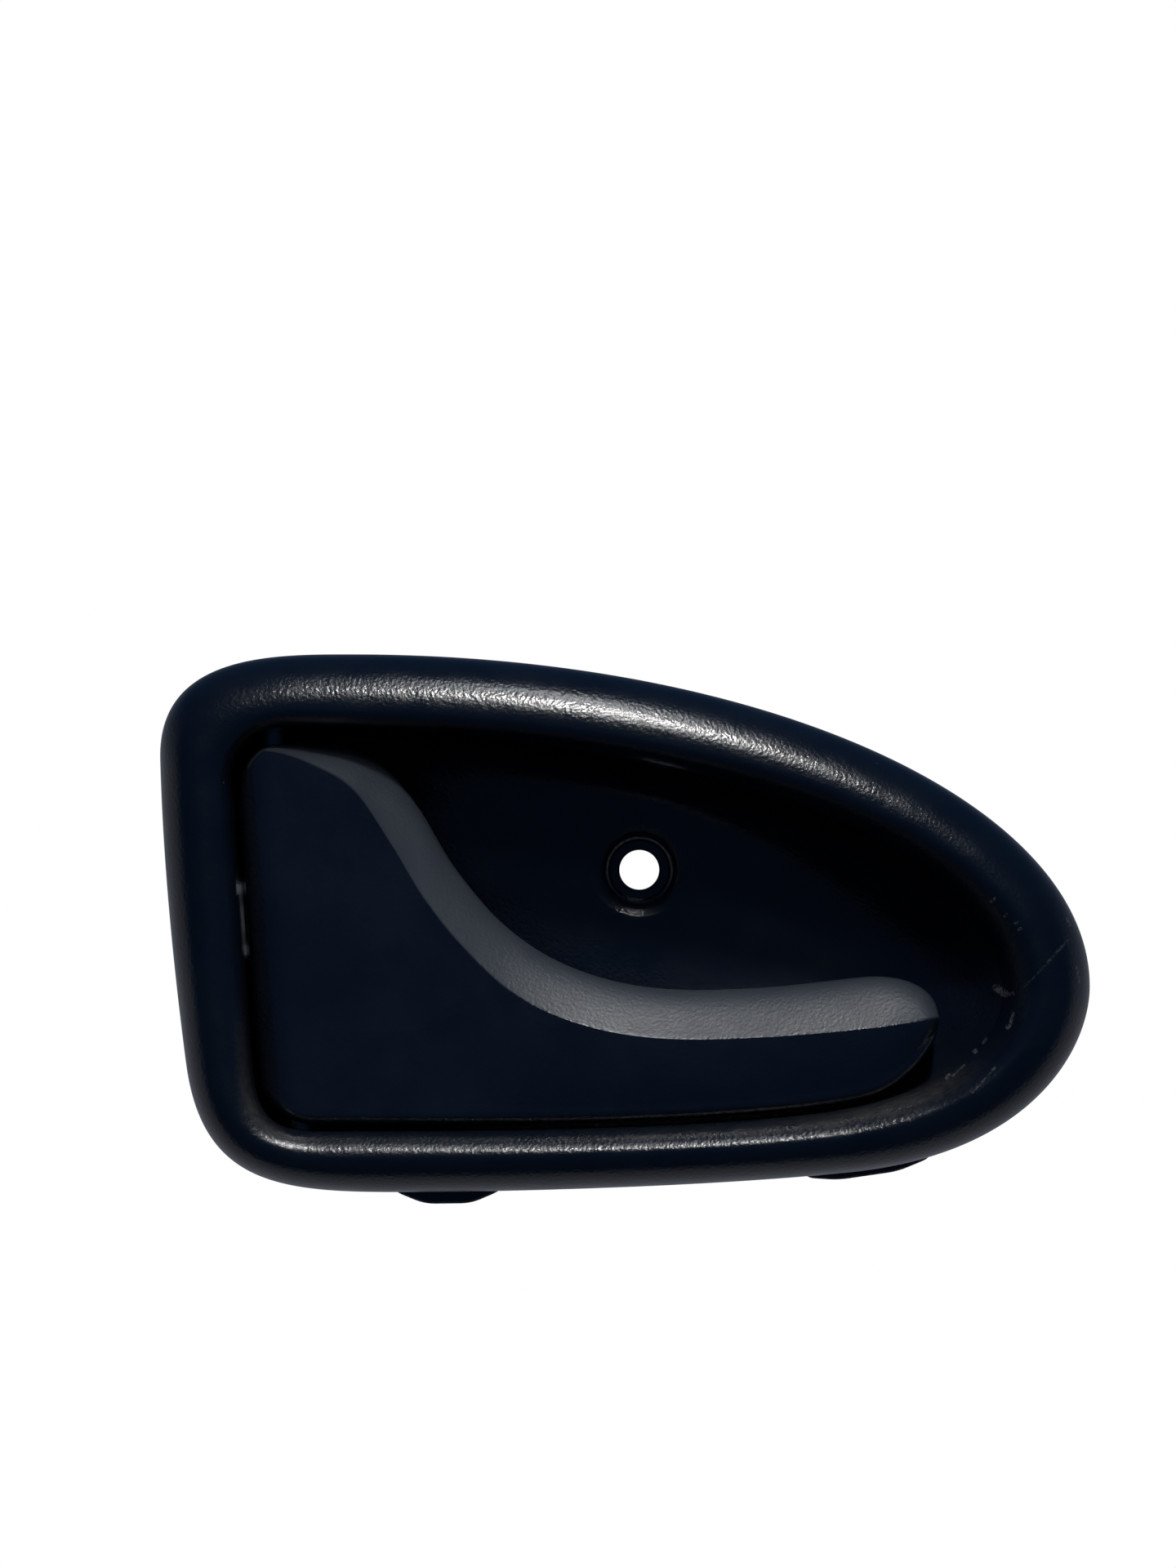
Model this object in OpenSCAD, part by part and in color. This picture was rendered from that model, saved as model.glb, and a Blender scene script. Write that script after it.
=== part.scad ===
// Car interior door handle: a teardrop bezel with a deep finger bowl, and a pull
// lever that turns on a steel pin along the bezel's straight side.
// X runs along the bezel towards its nose, Z is up, and Y points into the door.
// Y = 0 is the seat of the screw boss, and the screw's axis is X = 0, Z = 0.
// A depth is measured into the door from the crest of the rim.

/* [Bezel outline] */
// Length from the straight side to the nose
body_len = 140; // [134:0.5:146]
// Height from the bottom edge to the top edge
body_h = 81; // [77:0.5:85]
// Height of the nose's tip above the bottom edge
nose_h = 31; // [28:0.5:34]
// Distance of the screw's axis from the straight side
screw_x = 72.3; // [70:0.1:75]
// Height of the screw's axis above the bottom edge
screw_z = 48.3; // [46:0.1:50]

/* [Rim] */
// Height of the rim's crest above the trim panel
rim_h = 10; // [8:0.25:12]
// Width of the rim at the straight side
rim_left = 10.7; // [9.5:0.1:12]
// Width of the rim at the top
rim_top = 10.9; // [9.5:0.1:12]
// Width of the rim at the bottom
rim_bottom = 9.3; // [8.5:0.1:10.5]
// Width of the rim at the nose
rim_nose = 13; // [11.5:0.1:14.5]
// Depth at which the rim's inner roll becomes the mouth's wall
lip_d = 5; // [4:0.25:6]
// Depth at which the nose's slope becomes the bowl
nose_lip_d = 8; // [6.5:0.25:9]

/* [Bowl] */
// Depth of the bowl's floor
bowl_d = 26; // [24.5:0.25:27]
// Depth of the screw boss's seat
boss_d = 34; // [32.5:0.25:35.5]
// Wall thickness of the bezel
wall = 2.2; // [1.8:0.1:2.6]
// Lean of the hinge and of the mouth's straight side from upright
lean = 4.2; // [3:0.1:5.5]

/* [Screw] */
// Radius of the screw hole
screw_r = 3.05; // [2.6:0.05:3.3]
// Radius of the funnel's mouth in the bowl's floor
funnel_r = 7.1; // [6.6:0.1:7.6]
// Radius of the screw head's seat
seat_r = 4.4; // [4:0.1:5]
// Length of the screw hole
screw_len = 4.5; // [3.5:0.25:6]

/* [Hinge] */
// Depth of the hinge's axis
hinge_d = 9; // [8.5:0.1:10]
// Radius of the hinge pin
pin_r = 2; // [1.75:0.05:2.25]
// Radius of the bosses and barrels round the pin
barrel_r = 4.4; // [4:0.1:4.8]
// Length of the upper hinge boss behind the rim
hinge_boss_len = 4; // [3:0.25:4.5]
// Length of the lower hinge boss behind the rim
low_boss_len = 1.5; // [1:0.25:1.75]
// Radial clearance of the pin in the lever
pin_clear = 0.06; // [0.03:0.01:0.09]
// Angle to which the lever opens
open_angle = 30; // [26:1:32]

/* [Lever] */
// Gap between the lever and the mouth
lever_gap = 0.9; // [0.7:0.05:1.2]
// Gap between the lever's top corner and the mouth's top
top_gap = 1.9; // [1.4:0.1:2.6]
// Radius of the rolled edge at the hinge, measured across the lever
roll_r = 5.8; // [5.4:0.1:6.2]
// Wall thickness of the lever
lever_wall = 1.8; // [1.5:0.1:2.2]
// Distance from the bezel's nose to the lever's tip
tip_inset = 22.9; // [21:0.1:26]
// Height of the grip from its bottom edge to its top edge
grip_h = 18.6; // [17.5:0.1:20]
// Depth of the lever's ridge
ridge_d = 1.2; // [0.8:0.1:2]
// Depth of the lever's face at its bottom edge
face_low_d = 3; // [2.4:0.1:3.6]
// Depth of the lever's back edge at the tip
back_tip_d = 10; // [9:0.25:11]
// Depth of the lever's back edge at the hinge
back_root_d = 14; // [13.5:0.25:14.5]

/* [Cable arm] */
// Distance of the cable's axis from the hinge's axis
arm_len = 21.5; // [20.5:0.25:22]
// Width of the arm
arm_w = 7; // [6.5:0.25:8]
// Height of the arm along the hinge
arm_h = 8; // [7:0.25:9]
// Height of the arm's middle below the screw's axis, along the hinge
arm_drop = 7; // [6:0.5:9]
// Radius of the cable swivel
swivel_r = 2.3; // [2:0.05:2.5]
// Radius of the cable hole through the swivel
cable_r = 1.1; // [0.8:0.05:1.3]
// Radius of the seat for the cable's sheath
sheath_r = 3; // [2.5:0.05:3.25]

/* [Spring and stops] */
// Thickness of the spring's wire
wire_d = 1.1; // [0.9:0.05:1.2]
// Mean radius of the spring's coil
coil_r = 3.2; // [3.05:0.05:3.4]
// Number of turns of the spring
coil_turns = 4.5; // [3.5:1:5.5]
// Length of the spring's leg along the arm
arm_leg_len = 12; // [10:0.5:13]
// Length of the spring's leg along the mouth's wall
wall_leg_len = 8.5; // [7.5:0.25:9]
// Radius of the rubber buffer
buffer_r = 3; // [2.5:0.1:3.5]
// Height of the rubber buffer above its pad
buffer_h = 2; // [1.5:0.25:2.5]
// Radius of the buffer's stem
stem_r = 1.4; // [1.2:0.05:1.6]
// Length of the buffer's stem
stem_len = 2.5; // [2:0.25:3]

/* [Tongues and ribs] */
// Thickness of the trim panel behind the rim
panel_t = 3; // [2:0.25:3.5]
// Thickness of the tongues that catch the trim panel
tongue_t = 2.5; // [2:0.1:3]
// Thickness of the ribs behind the rim
rib_t = 1.4; // [1:0.1:1.8]

/* [Hidden] */
plastic = "#1b2029";
steel = "#a7abb0";
rubber = "#101010";
nylon = "#d8d4c6";
exact_fn = 64;

// Running clearance of flat faces, of a pin in its boss and of the spring
face_clear = 0.15;
seat_clear = 0.02;
spring_clear = 0.3;

// A smooth step from 0 to 1, and a quarter of a superellipse that leaves 0 flat and
// reaches 1 steeply. A power of 1 gives a straight slope.
function ease(x) = (1 - cos(180 * x)) / 2;
function roll(x, power) = 1 - pow(max(0, 1 - pow(max(0, x), power)), 1 / power);

// A point of the curve between two anchors. An anchor is
// [x, z, heading, handle behind it, handle ahead of it].
function heading(a) = [cos(a[2]), sin(a[2])];
function place(a) = [a[0], a[1]];
function between(a, b, t) =
    let (p1 = place(a) + a[4] * heading(a), p2 = place(b) - b[3] * heading(b))
    pow(1 - t, 3) * place(a) + 3 * pow(1 - t, 2) * t * p1
    + 3 * (1 - t) * t * t * p2 + pow(t, 3) * place(b);
function on_loop(anchors, t) =
    let (i = floor(t) % len(anchors), j = (i + 1) % len(anchors))
    between(anchors[i], anchors[j], t - floor(t));

// The outer edge, clockwise from the foot of the straight side, in X and Z
side_lean = 3.9;
corner_low = [36, 19.4];
corner_top = [29, 15.8];
nose_low = [36, 3];
outer_edge = [
    [side_lean, corner_low[1], 97.5, 18.6, 15],
    [0, body_h - corner_top[1], 91.5, 15, 16.1],
    [corner_top[0], body_h, 0, 11.7, 0.56 * (body_len - corner_top[0])],
    [body_len, nose_h, -90, 27.5, 8.8],
    [body_len - nose_low[0], nose_low[1], 185.9, 28.2, 22],
    [corner_low[0], 0, 180, 15, 17.8]
];

// The mouth's edge, from the same corners and the rim's widths
mouth_corner_top = 9;
mouth_corner_low = 10.3;
mouth_side_top = body_h - rim_top - mouth_corner_top;
mouth_side_low = rim_bottom + mouth_corner_low;
function mouth_side_x(z) = rim_left + (mouth_side_top - z) * tan(lean);
mouth_low = [42, 2.7];
mouth_edge = [
    [mouth_side_x(mouth_side_low), mouth_side_low, 90 + lean, 8, 15],
    [rim_left, mouth_side_top, 90 + lean, 15, 5.2],
    [rim_left + mouth_corner_top, body_h - rim_top, 0, 5.2,
        0.52 * (body_len - rim_nose - rim_left - mouth_corner_top)],
    [body_len - rim_nose, nose_h - 1, -90, 24, 9],
    [body_len - mouth_low[0], rim_bottom + mouth_low[1], 187, 18, 22],
    [mouth_side_x(mouth_side_low) + mouth_corner_low, rim_bottom, 180, 15, 7.5]
];

// Both edges as stations, with more of them where an edge bends
station_counts = [6, 12, 26, 16, 12, 12];
stations = [for (i = [0 : 5]) for (k = [0 : station_counts[i] - 1]) i + k / station_counts[i]];
station_total = len(stations);
screw_at = [screw_x, screw_z];
function outer_at(t) = on_loop(outer_edge, t) - screw_at;
function mouth_at(t) = on_loop(mouth_edge, t) - screw_at;

// A value that changes smoothly along the stations, given at the six anchors
function round_edge(values, t) =
    let (i = floor(t) % 6, a = values[i], b = values[(i + 1) % 6])
    a + (b - a) * ease(t - floor(t));
crest_share = [0.56, 0.58, 0.76, 0.6, 0.6, 0.6];
lip_depth = [lip_d, lip_d, lip_d, nose_lip_d, lip_d + 1, lip_d];
lip_power = [2, 2, 2, 1.35, 1.7, 2];
wall_depth = [19, 18, 15, nose_lip_d + 0.6, 11, 16];
bowl_power = [3.4, 3.2, 2.5, 1.5, 2.2, 3.2];
draft = 0.3;

// The bezel's section at a station: [way inwards, depth] from the outer edge
crest_angles = [0, 14, 32, 55, 90];
roll_steps = [0.3, 0.55, 0.78, 0.93, 1];
bowl_steps = [0.02, 0.07, 0.17, 0.34, 0.6, 1];
floor_r = 8;
function section(t) =
    let (
        o = outer_at(t), m = mouth_at(t),
        width = norm(m - o),
        crest = width * round_edge(crest_share, t),
        lip = round_edge(lip_depth, t),
        bend = round_edge(lip_power, t),
        deep = round_edge(wall_depth, t),
        curl = round_edge(bowl_power, t),
        reach = norm(m) - floor_r - draft
    )
    concat(
        [for (a = crest_angles) [crest * (1 - cos(a)), rim_h * (1 - sin(a))]],
        [for (x = roll_steps) [crest + (width - crest) * x, lip * roll(x, bend)]],
        [[width + draft, deep]],
        [for (x = bowl_steps)
            [width + draft + reach * x, deep + (bowl_d - deep) * roll_out(x, curl)]]
    );
function roll_out(x, power) = pow(max(0, 1 - pow(1 - x, power)), 1 / power);

// The section's inner line is set back by the wall, square to the section
function slope(line, i) =
    let (a = line[max(0, i - 1)], b = line[min(len(line) - 1, i + 1)], d = b - a)
    i == 0 ? [0, -1] : i == len(line) - 1 ? [1, 0] : d / norm(d);
function set_back(line, t) = [for (i = [0 : len(line) - 1])
    let (d = slope(line, i)) line[i] + t * [-d[1], d[0]]];

// A point of a section as a point in space: along the rim to the mouth's edge, and
// from there towards the screw's axis
function in_space(t, p) =
    let (
        o = outer_at(t), m = mouth_at(t), width = norm(m - o),
        q = p[0] <= width
            ? o + (m - o) * p[0] / width
            : m - m * (p[0] - width) / norm(m)
    )
    [q[0], p[1] - boss_d, q[1]];

// A closed skin between a front grid and a back grid of rings, the first ring
// outermost, with a flat disc inside the last ring
function ring_faces(base, i, rings, count, turned) = [for (k = [0 : count - 1])
    let (
        n = (k + 1) % count,
        a = base + i * count + k, b = base + i * count + n,
        c = base + (i + 1) * count + n, d = base + (i + 1) * count + k
    )
    each turned ? [[a, c, b], [a, d, c]] : [[a, b, c], [a, c, d]]];
module ring_shell(front, back) {
    count = len(front[0]);
    rings = len(front);
    base = rings * count;
    polyhedron(
        points = concat([for (r = front) each r], [for (r = back) each r]),
        faces = concat(
            [for (i = [0 : rings - 2]) each ring_faces(0, i, rings, count, false)],
            [for (i = [0 : rings - 2]) each ring_faces(base, i, rings, count, true)],
            [for (k = [0 : count - 1]) let (n = (k + 1) % count)
                each [[k, base + k, base + n], [k, base + n, n]]],
            [[for (k = [0 : count - 1]) (rings - 1) * count + k]],
            [[for (k = [0 : count - 1]) base + rings * count - 1 - k]]
        )
    );
}

module bezel_shell() {
    fronts = [for (t = stations) section(t)];
    backs = [for (f = fronts) set_back(f, wall)];
    rings = len(fronts[0]);
    ring_shell(
        [for (i = [0 : rings - 1]) [for (k = [0 : station_total - 1])
            in_space(stations[k], fronts[k][i])]],
        [for (i = [0 : rings - 1]) [for (k = [0 : station_total - 1])
            in_space(stations[k], backs[k][i])]]
    );
}

// The hinge's own frame: its Z runs up the hinge's axis and its Y is depth
hinge_x = (mouth_side_x(screw_z) - screw_x) + (lever_gap + roll_r) / cos(lean);
module hinge_frame() {
    translate([hinge_x, -boss_d, 0]) rotate([0, -lean, 0]) children();
}
function to_hinge(p) = let (x = p[0] - hinge_x)
    [x * cos(lean) + p[1] * sin(lean), p[1] * cos(lean) - x * sin(lean)];
function from_hinge(u, v, d) =
    [hinge_x + u * cos(lean) - v * sin(lean), d - boss_d, u * sin(lean) + v * cos(lean)];

// The mouth's top and bottom edges in the hinge's frame, as height over distance
mouth_top_line = [for (t = [1.2 : 0.1 : 3]) to_hinge(mouth_at(t))];
mouth_low_line = [for (t = [5.8 : -0.1 : 3.3]) to_hinge(mouth_at(t))];
mouth_top_v = lookup(0, mouth_top_line);
mouth_low_v = lookup(0, mouth_low_line);

// Where the arm passes the bezel, in the hinge's frame
arm_v = -arm_drop;
window_clear = 1.5;
window_low = arm_v - arm_h / 2 - window_clear;
window_top = arm_v + arm_h / 2 + window_clear;
window_left = -arm_w / 2 - window_clear;
window_right = (bowl_d + wall - hinge_d) * tan(open_angle) + arm_w / 2 / cos(open_angle)
    + window_clear / 2;

module hinge_bosses() {
    hinge_frame() {
        translate([0, hinge_d, mouth_top_v + wall / 2])
            cylinder(h = wall / 2 + hinge_boss_len, r = barrel_r, $fn = exact_fn);
        translate([0, hinge_d, mouth_low_v - wall - low_boss_len])
            cylinder(h = wall / 2 + low_boss_len, r = barrel_r, $fn = exact_fn);
    }
}

// A C-shaped seat for the cable's sheath, on a plate that two webs hold behind the
// straight side
bracket_t = 2.5;
bracket_w = arm_h + 4;
bracket_gap = 9;
bracket_top_d = lip_d + wall + 5;
web_t = 2;
sheath_d = hinge_d + arm_len * (1 + cos(open_angle)) / 2;
module cable_bracket() {
    plate_u = -roll_r - lever_gap - bracket_gap / 2;
    web_len = bracket_gap / 2 + bracket_t / 2 - wall / 2;
    seat_mouth = 1.4 * sheath_r;
    hinge_frame() translate([0, 0, arm_v]) difference() {
        union() {
            translate([plate_u - bracket_t, bracket_top_d, -bracket_w / 2])
                cube([bracket_t, sheath_d + sheath_r - bracket_top_d, bracket_w]);
            for (side = [-1, 1])
                translate([plate_u - bracket_t / 2, bracket_top_d,
                        side * (bracket_w - web_t) / 2 - web_t / 2])
                    cube([web_len, (sheath_d - bracket_top_d) / 2, web_t]);
        }
        translate([plate_u - 2 * bracket_t, sheath_d, 0]) rotate([0, 90, 0])
            cylinder(h = 4 * bracket_t, r = sheath_r, $fn = exact_fn);
        translate([plate_u - 2 * bracket_t, sheath_d, -seat_mouth / 2])
            cube([4 * bracket_t, 2 * sheath_r, seat_mouth]);
    }
}

// A tongue stands out from the mouth's wall at a station, behind the trim panel. For
// each: its station, the width of its foot and of its tip, and how far its sides and
// its tip stand out from the rim's edge.
tongues = [[4.69, 16.8, 7, 0, 2], [3.825, 19.5, 9, 0.4, 1.2]];
panel_play = 0.5;
tongue_d = rim_h + panel_t + panel_play;
outer_low_line = [for (t = [5.6 : -0.1 : 3.2]) outer_at(t)];
inner_low_line = [for (t = [5.6 : -0.1 : 3.2]) mouth_at(t)];
module tongue(t, foot, tip, side_out, tip_out) {
    m = mouth_at(t);
    function start(x) = m[1] - lookup(m[0] + x, inner_low_line) + wall / 2;
    function end(x) = m[1] - lookup(m[0] + x, outer_low_line);
    on_frame(m, [0, -1], tongue_d) linear_extrude(height = tongue_t)
        polygon([[-foot / 2, start(-foot / 2)], [0, start(0)], [foot / 2, start(foot / 2)],
            [foot / 2, end(foot / 2) + side_out], [tip / 2, end(tip / 2) + tip_out],
            [-tip / 2, end(-tip / 2) + tip_out], [-foot / 2, end(-foot / 2) + side_out]]);
}

// Stands children on a point of the edge: their Y runs along the way given in X and
// Z, and their Z is depth
module on_frame(p, way, depth) {
    multmatrix([
        [-way[1], way[0], 0, p[0]],
        [0, 0, 1, depth - boss_d],
        [way[0], way[1], 0, p[1]],
        [0, 0, 0, 1]
    ]) children();
}

// A rib closes the rim's channel between the outer wall and the mouth's wall
rib_stations = [0.5, 1.15, 1.85, 2.2, 2.42, 2.6, 2.78, 3.5, 4.15, 4.6, 4.9, 5.75];
module rim_rib(t) {
    o = outer_at(t);
    m = mouth_at(t);
    way = (m - o) / norm(m - o);
    line = set_back([for (i = [0 : 10]) section(t)[i]], wall / 2);
    low = [for (p = line) if (p[1] < rim_h - 1) p];
    on_frame(o, way, 0) rotate([0, 90, 0]) translate([0, 0, -rib_t / 2])
        linear_extrude(height = rib_t)
            polygon([for (p = concat([[wall / 2, rim_h - 1]], low,
                [[line[10][0], rim_h - 1]])) [-p[1], p[0]]]);
}

// Length of the lever from the hinge's axis to its tip
tip_drop = 4.4;
tip_z = nose_h - tip_drop - screw_z;
lever_len = (body_len - tip_inset - screw_x - hinge_x) * cos(lean) + tip_z * sin(lean);

// The seat of the closed stop's buffer, behind the grip
buffer_u = 20;
buffer_v = lookup(buffer_u, mouth_low_line) + lever_gap + buffer_r + face_clear;
function back_depth(u) = back_root_d
    + (back_tip_d - back_root_d) * ease(min(1, max(0, u / (lever_len * 0.5))));
buffer_top_d = back_depth(buffer_u - buffer_r) + face_clear;
pad_d = buffer_top_d + buffer_h;
pad_r = buffer_r + 0.5;
module buffer_pad() {
    hinge_frame() translate([buffer_u, pad_d, buffer_v]) rotate([-90, 0, 0])
        cylinder(h = bowl_d - wall - pad_d, r = pad_r, $fn = exact_fn);
}
module buffer_socket() {
    hinge_frame() translate([buffer_u, pad_d - 1, buffer_v]) rotate([-90, 0, 0])
        cylinder(h = 1 + stem_len + spring_clear, r = stem_r + seat_clear, $fn = exact_fn);
}

module bezel() {
    color(plastic) difference() {
        union() {
            bezel_shell();
            translate([0, bowl_d + wall / 2 - boss_d, 0]) rotate([-90, 0, 0])
                cylinder(h = boss_d - bowl_d - wall / 2, r = funnel_r + wall, $fn = exact_fn);
            hinge_bosses();
            cable_bracket();
            buffer_pad();
            for (g = tongues) tongue(g[0], g[1], g[2], g[3], g[4]);
            for (t = rib_stations) rim_rib(t);
        }
        translate([0, -screw_len - (boss_d - bowl_d), 0]) rotate([-90, 0, 0])
            cylinder(h = boss_d, r = screw_r, $fn = exact_fn);
        screw_funnel();
        buffer_socket();
        hinge_frame() {
            translate([0, hinge_d, mouth_low_v - body_h / 2])
                cylinder(h = 2 * body_h, r = pin_r + seat_clear, $fn = exact_fn);
            translate([window_left, back_root_d, window_low])
                cube([window_right - window_left, boss_d, window_top - window_low]);
        }
    }
}

// The funnel round the screw hole, with a flat seat at its foot
module screw_funnel() {
    depth = boss_d - bowl_d - screw_len;
    translate([0, -screw_len, 0]) rotate([90, 0, 0]) {
        cylinder(h = depth, r1 = seat_r, r2 = funnel_r, $fn = exact_fn);
        translate([0, 0, depth - 0.01]) cylinder(h = 1, r = funnel_r, $fn = exact_fn);
    }
}

// A smooth line through given nodes, as height over distance
function node_slope(nodes, i) =
    let (a = nodes[max(0, i - 1)], b = nodes[min(len(nodes) - 1, i + 1)])
    (b[1] - a[1]) / (b[0] - a[0]);
function span_of(nodes, x) =
    min(len(nodes) - 2, len([for (i = [1 : len(nodes) - 2]) if (nodes[i][0] <= x) i]));
function smooth_line(nodes, x) =
    let (
        i = span_of(nodes, x), a = nodes[i], b = nodes[i + 1],
        w = b[0] - a[0], t = (x - a[0]) / w,
        t2 = t * t, t3 = t2 * t
    )
    (2 * t3 - 3 * t2 + 1) * a[1] + (t3 - 2 * t2 + t) * w * node_slope(nodes, i)
    + (3 * t2 - 2 * t3) * b[1] + (t3 - t2) * w * node_slope(nodes, i + 1);

// The S of the lever's top edge and of its ridge, as shares of the lever's length
// and of its rise from the grip to the root
top_nodes = [[-0.06, 0.995], [0, 1], [0.062, 0.988], [0.124, 0.95], [0.175, 0.868],
    [0.217, 0.733], [0.268, 0.505], [0.34, 0.285], [0.433, 0.127], [0.557, 0.03],
    [0.72, 0], [0.907, 0.012], [1, 0.012]];
ridge_nodes = [[-0.06, 0.96], [0, 0.96], [0.062, 0.903], [0.124, 0.80], [0.175, 0.60],
    [0.217, 0.41], [0.268, 0.238], [0.34, 0.059], [0.433, -0.066], [0.557, -0.144],
    [0.72, -0.17], [0.907, -0.165], [1, -0.15]];

root_v = mouth_top_v - top_gap;
grip_share = 0.72;
grip_v = lookup(lever_len * grip_share, mouth_low_line) + lever_gap + grip_h;
tip_len = 12;
tip_fall = 0.15;
tip_v = grip_v - (root_v - grip_v) * tip_fall;
low_corner_r = 9;
top_corner_r = 6.5;
tip_round = 3;

function s_curve(nodes, u) =
    grip_v + (root_v - grip_v) * smooth_line(nodes, u / lever_len);
function corner(u, r) = let (x = (r - u - roll_r) / r) x > 0 ? r * roll(x, 2) : 0;
// How far a line has closed onto the tip, from 1 before it to 0 at it
function to_tip(u, power) =
    let (x = (u - lever_len + tip_len) / tip_len)
    x > 0 ? pow(max(0, 1 - pow(x, power)), 1 / power) : 1;
function tip_blend(v, u, power) = tip_v + (v - tip_v) * to_tip(u, power);
function top_v(u) = tip_blend(s_curve(top_nodes, u) - corner(u, top_corner_r), u, 2.4);
function low_v(u) = tip_blend(
    lookup(max(u, low_corner_r - roll_r), mouth_low_line) + lever_gap
        + corner(u, low_corner_r), u, 2);
band_min = 1.2;
function ridge_v(u) = tip_blend(
    min(s_curve(ridge_nodes, u), top_v(u) - band_min), u, 2);
// Depth of the front at the ridge: it rolls back at the hinge and at the tip
roll_power = 1.7;
function front_depth(u) =
    let (
        left = max(0, -u / roll_r),
        right = max(0, (u - lever_len + tip_round) / tip_round)
    )
    ridge_d + (hinge_d - ridge_d) * roll(left, roll_power)
    + tip_round * roll(right, 2);

// The lever's section at a distance: [height, depth] from the bottom wall's back
// edge, over the face and the ridge, down the band to its back edge
low_round = 2;
face_steps = [0.25, 0.5, 0.75];
band_steps = [0, 0.1, 0.25, 0.5, 0.75, 0.92, 1];
band_power = 1.22;
low_share = 0.24;
crown = 0.25;
crown_full_d = 5;
function rear_depth(u) = max(back_depth(u), front_depth(u) + 1);
function lever_section(u) =
    lever_line(low_v(u), ridge_v(u), top_v(u), front_depth(u), rear_depth(u));
function lever_line(low, ridge, top, front, rear) =
    let (
        deep = rear - front,
        sag = (face_low_d - ridge_d) / (back_tip_d - ridge_d),
        bend = min(low_round, (ridge - low) / 3)
    )
    concat(
        [[low, rear]],
        [for (a = [0, 30, 60, 90])
            [low + bend * (1 - cos(a)), front + deep * (sag + low_share * (1 - sin(a)))]],
        [for (x = face_steps)
            [low + bend + (ridge - low - bend) * x,
                front + deep * sag * (1 - x)
                    - 4 * crown * x * (1 - x) * min(1, deep / crown_full_d)]],
        [for (x = band_steps)
            [ridge + (top - ridge) * x, front + deep * roll(x, band_power)]]
    );

// The inner line lies inside the wall, which grows thicker in front of the barrels. It
// lies on the back plane where the lever is too narrow for a hollow, and at both its
// ends.
hinge_wall = 1.8;
hinge_side_share = 0.4;
hollow_min_w = 6 * lever_wall;
edge_share = 0.1;
ridge_share = 0.4;
function lever_inside(u) =
    let (
        low = low_v(u), top = top_v(u), rear = rear_depth(u),
        solid = top - low < hollow_min_w || u < -roll_r * hinge_side_share
            || u > lever_len - tip_round,
        extra = hinge_wall * ease(min(1, max(0, (barrel_r - u) / barrel_r))),
        last = len(lever_section(u)) - 1
    )
    solid
        ? [for (i = [0 : last])
            [low + (top - low) * (edge_share + (1 - 2 * edge_share) * i / last), rear]]
        : lever_line(low + lever_wall, ridge_v(u) - ridge_share * lever_wall,
            top - lever_wall, front_depth(u) + lever_wall + extra, rear);

lever_stations = concat(
    [for (a = [0 : 15 : 75]) -roll_r * cos(a)],
    [for (i = [0 : 21]) (lever_len - tip_len) * i / 22],
    [for (a = [0, 15, 30, 43, 55, 65, 73, 80, 85]) lever_len - tip_len + tip_len * sin(a)]
);

// A closed skin over sections of one length: outer line, inner line and end caps
module section_shell(outer, inner) {
    n = len(outer[0]);
    m = len(outer);
    base = n * m;
    polyhedron(
        points = concat([for (s = outer) each s], [for (s = inner) each s]),
        faces = concat(
            [for (i = [0 : m - 2]) for (j = [0 : n - 2])
                let (a = i * n + j, b = a + 1, c = a + n + 1, d = a + n)
                each [[a, b, c], [a, c, d]]],
            [for (i = [0 : m - 2]) for (j = [0 : n - 2])
                let (a = base + i * n + j, b = a + 1, c = a + n + 1, d = a + n)
                each [[a, c, b], [a, d, c]]],
            [for (i = [0 : m - 2]) let (a = i * n, b = a + n)
                each [[a, b, base + b], [a, base + b, base + a]]],
            [for (i = [0 : m - 2]) let (a = i * n + n - 1, b = a + n)
                each [[a, base + b, b], [a, base + a, base + b]]],
            [for (j = [0 : n - 2]) each
                [[j, base + j, base + j + 1], [j, base + j + 1, j + 1]]],
            [for (j = [0 : n - 2]) let (a = (m - 1) * n + j) each
                [[a, base + a + 1, base + a], [a, a + 1, base + a + 1]]]
        )
    );
}

module lever_shell() {
    section_shell(
        [for (u = lever_stations) [for (p = lever_section(u)) from_hinge(u, p[0], p[1])]],
        [for (u = lever_stations) [for (p = lever_inside(u)) from_hinge(u, p[0], p[1])]]
    );
}

// Three barrels on the hinge's axis: from the spring to the lever's top, at the arm,
// and up from the lever's bottom
barrel_len = 9;
hub_top_v = arm_v + arm_h / 2;
coil_gap = 0.12;
coil_pitch = wire_d + coil_gap;
coil_low_v = hub_top_v + wire_d / 2 + spring_clear;
coil_top_v = coil_low_v + coil_turns * coil_pitch;
coil_end_v = coil_top_v + wire_d / 2 + spring_clear;
room_step = 0.05;
module lever_barrels() {
    low_end = low_v(-barrel_r);
    upper_v = coil_end_v + room_step;
    hinge_frame() translate([0, hinge_d, 0]) {
        translate([0, 0, upper_v])
            cylinder(h = top_v(-barrel_r) - upper_v, r = barrel_r, $fn = exact_fn);
        translate([0, 0, arm_v - arm_h / 2])
            cylinder(h = arm_h, r = barrel_r, $fn = exact_fn);
        translate([0, 0, low_end]) cylinder(h = barrel_len, r = barrel_r, $fn = exact_fn);
    }
}

// Room for the spring's coil, and for its leg on the way to the mouth's wall. Its ends
// stand a small step from the hub and from the upper barrel.
module spring_room() {
    room_low_v = hub_top_v - room_step;
    translate([0, hinge_d, room_low_v]) cylinder(h = coil_end_v - room_low_v,
        r = coil_r + wire_d / 2 + spring_clear, $fn = exact_fn);
    translate([-2 * roll_r, hinge_d - 2 * wire_d, room_low_v])
        cube([2 * roll_r, boss_d, coil_end_v - room_low_v]);
}

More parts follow.
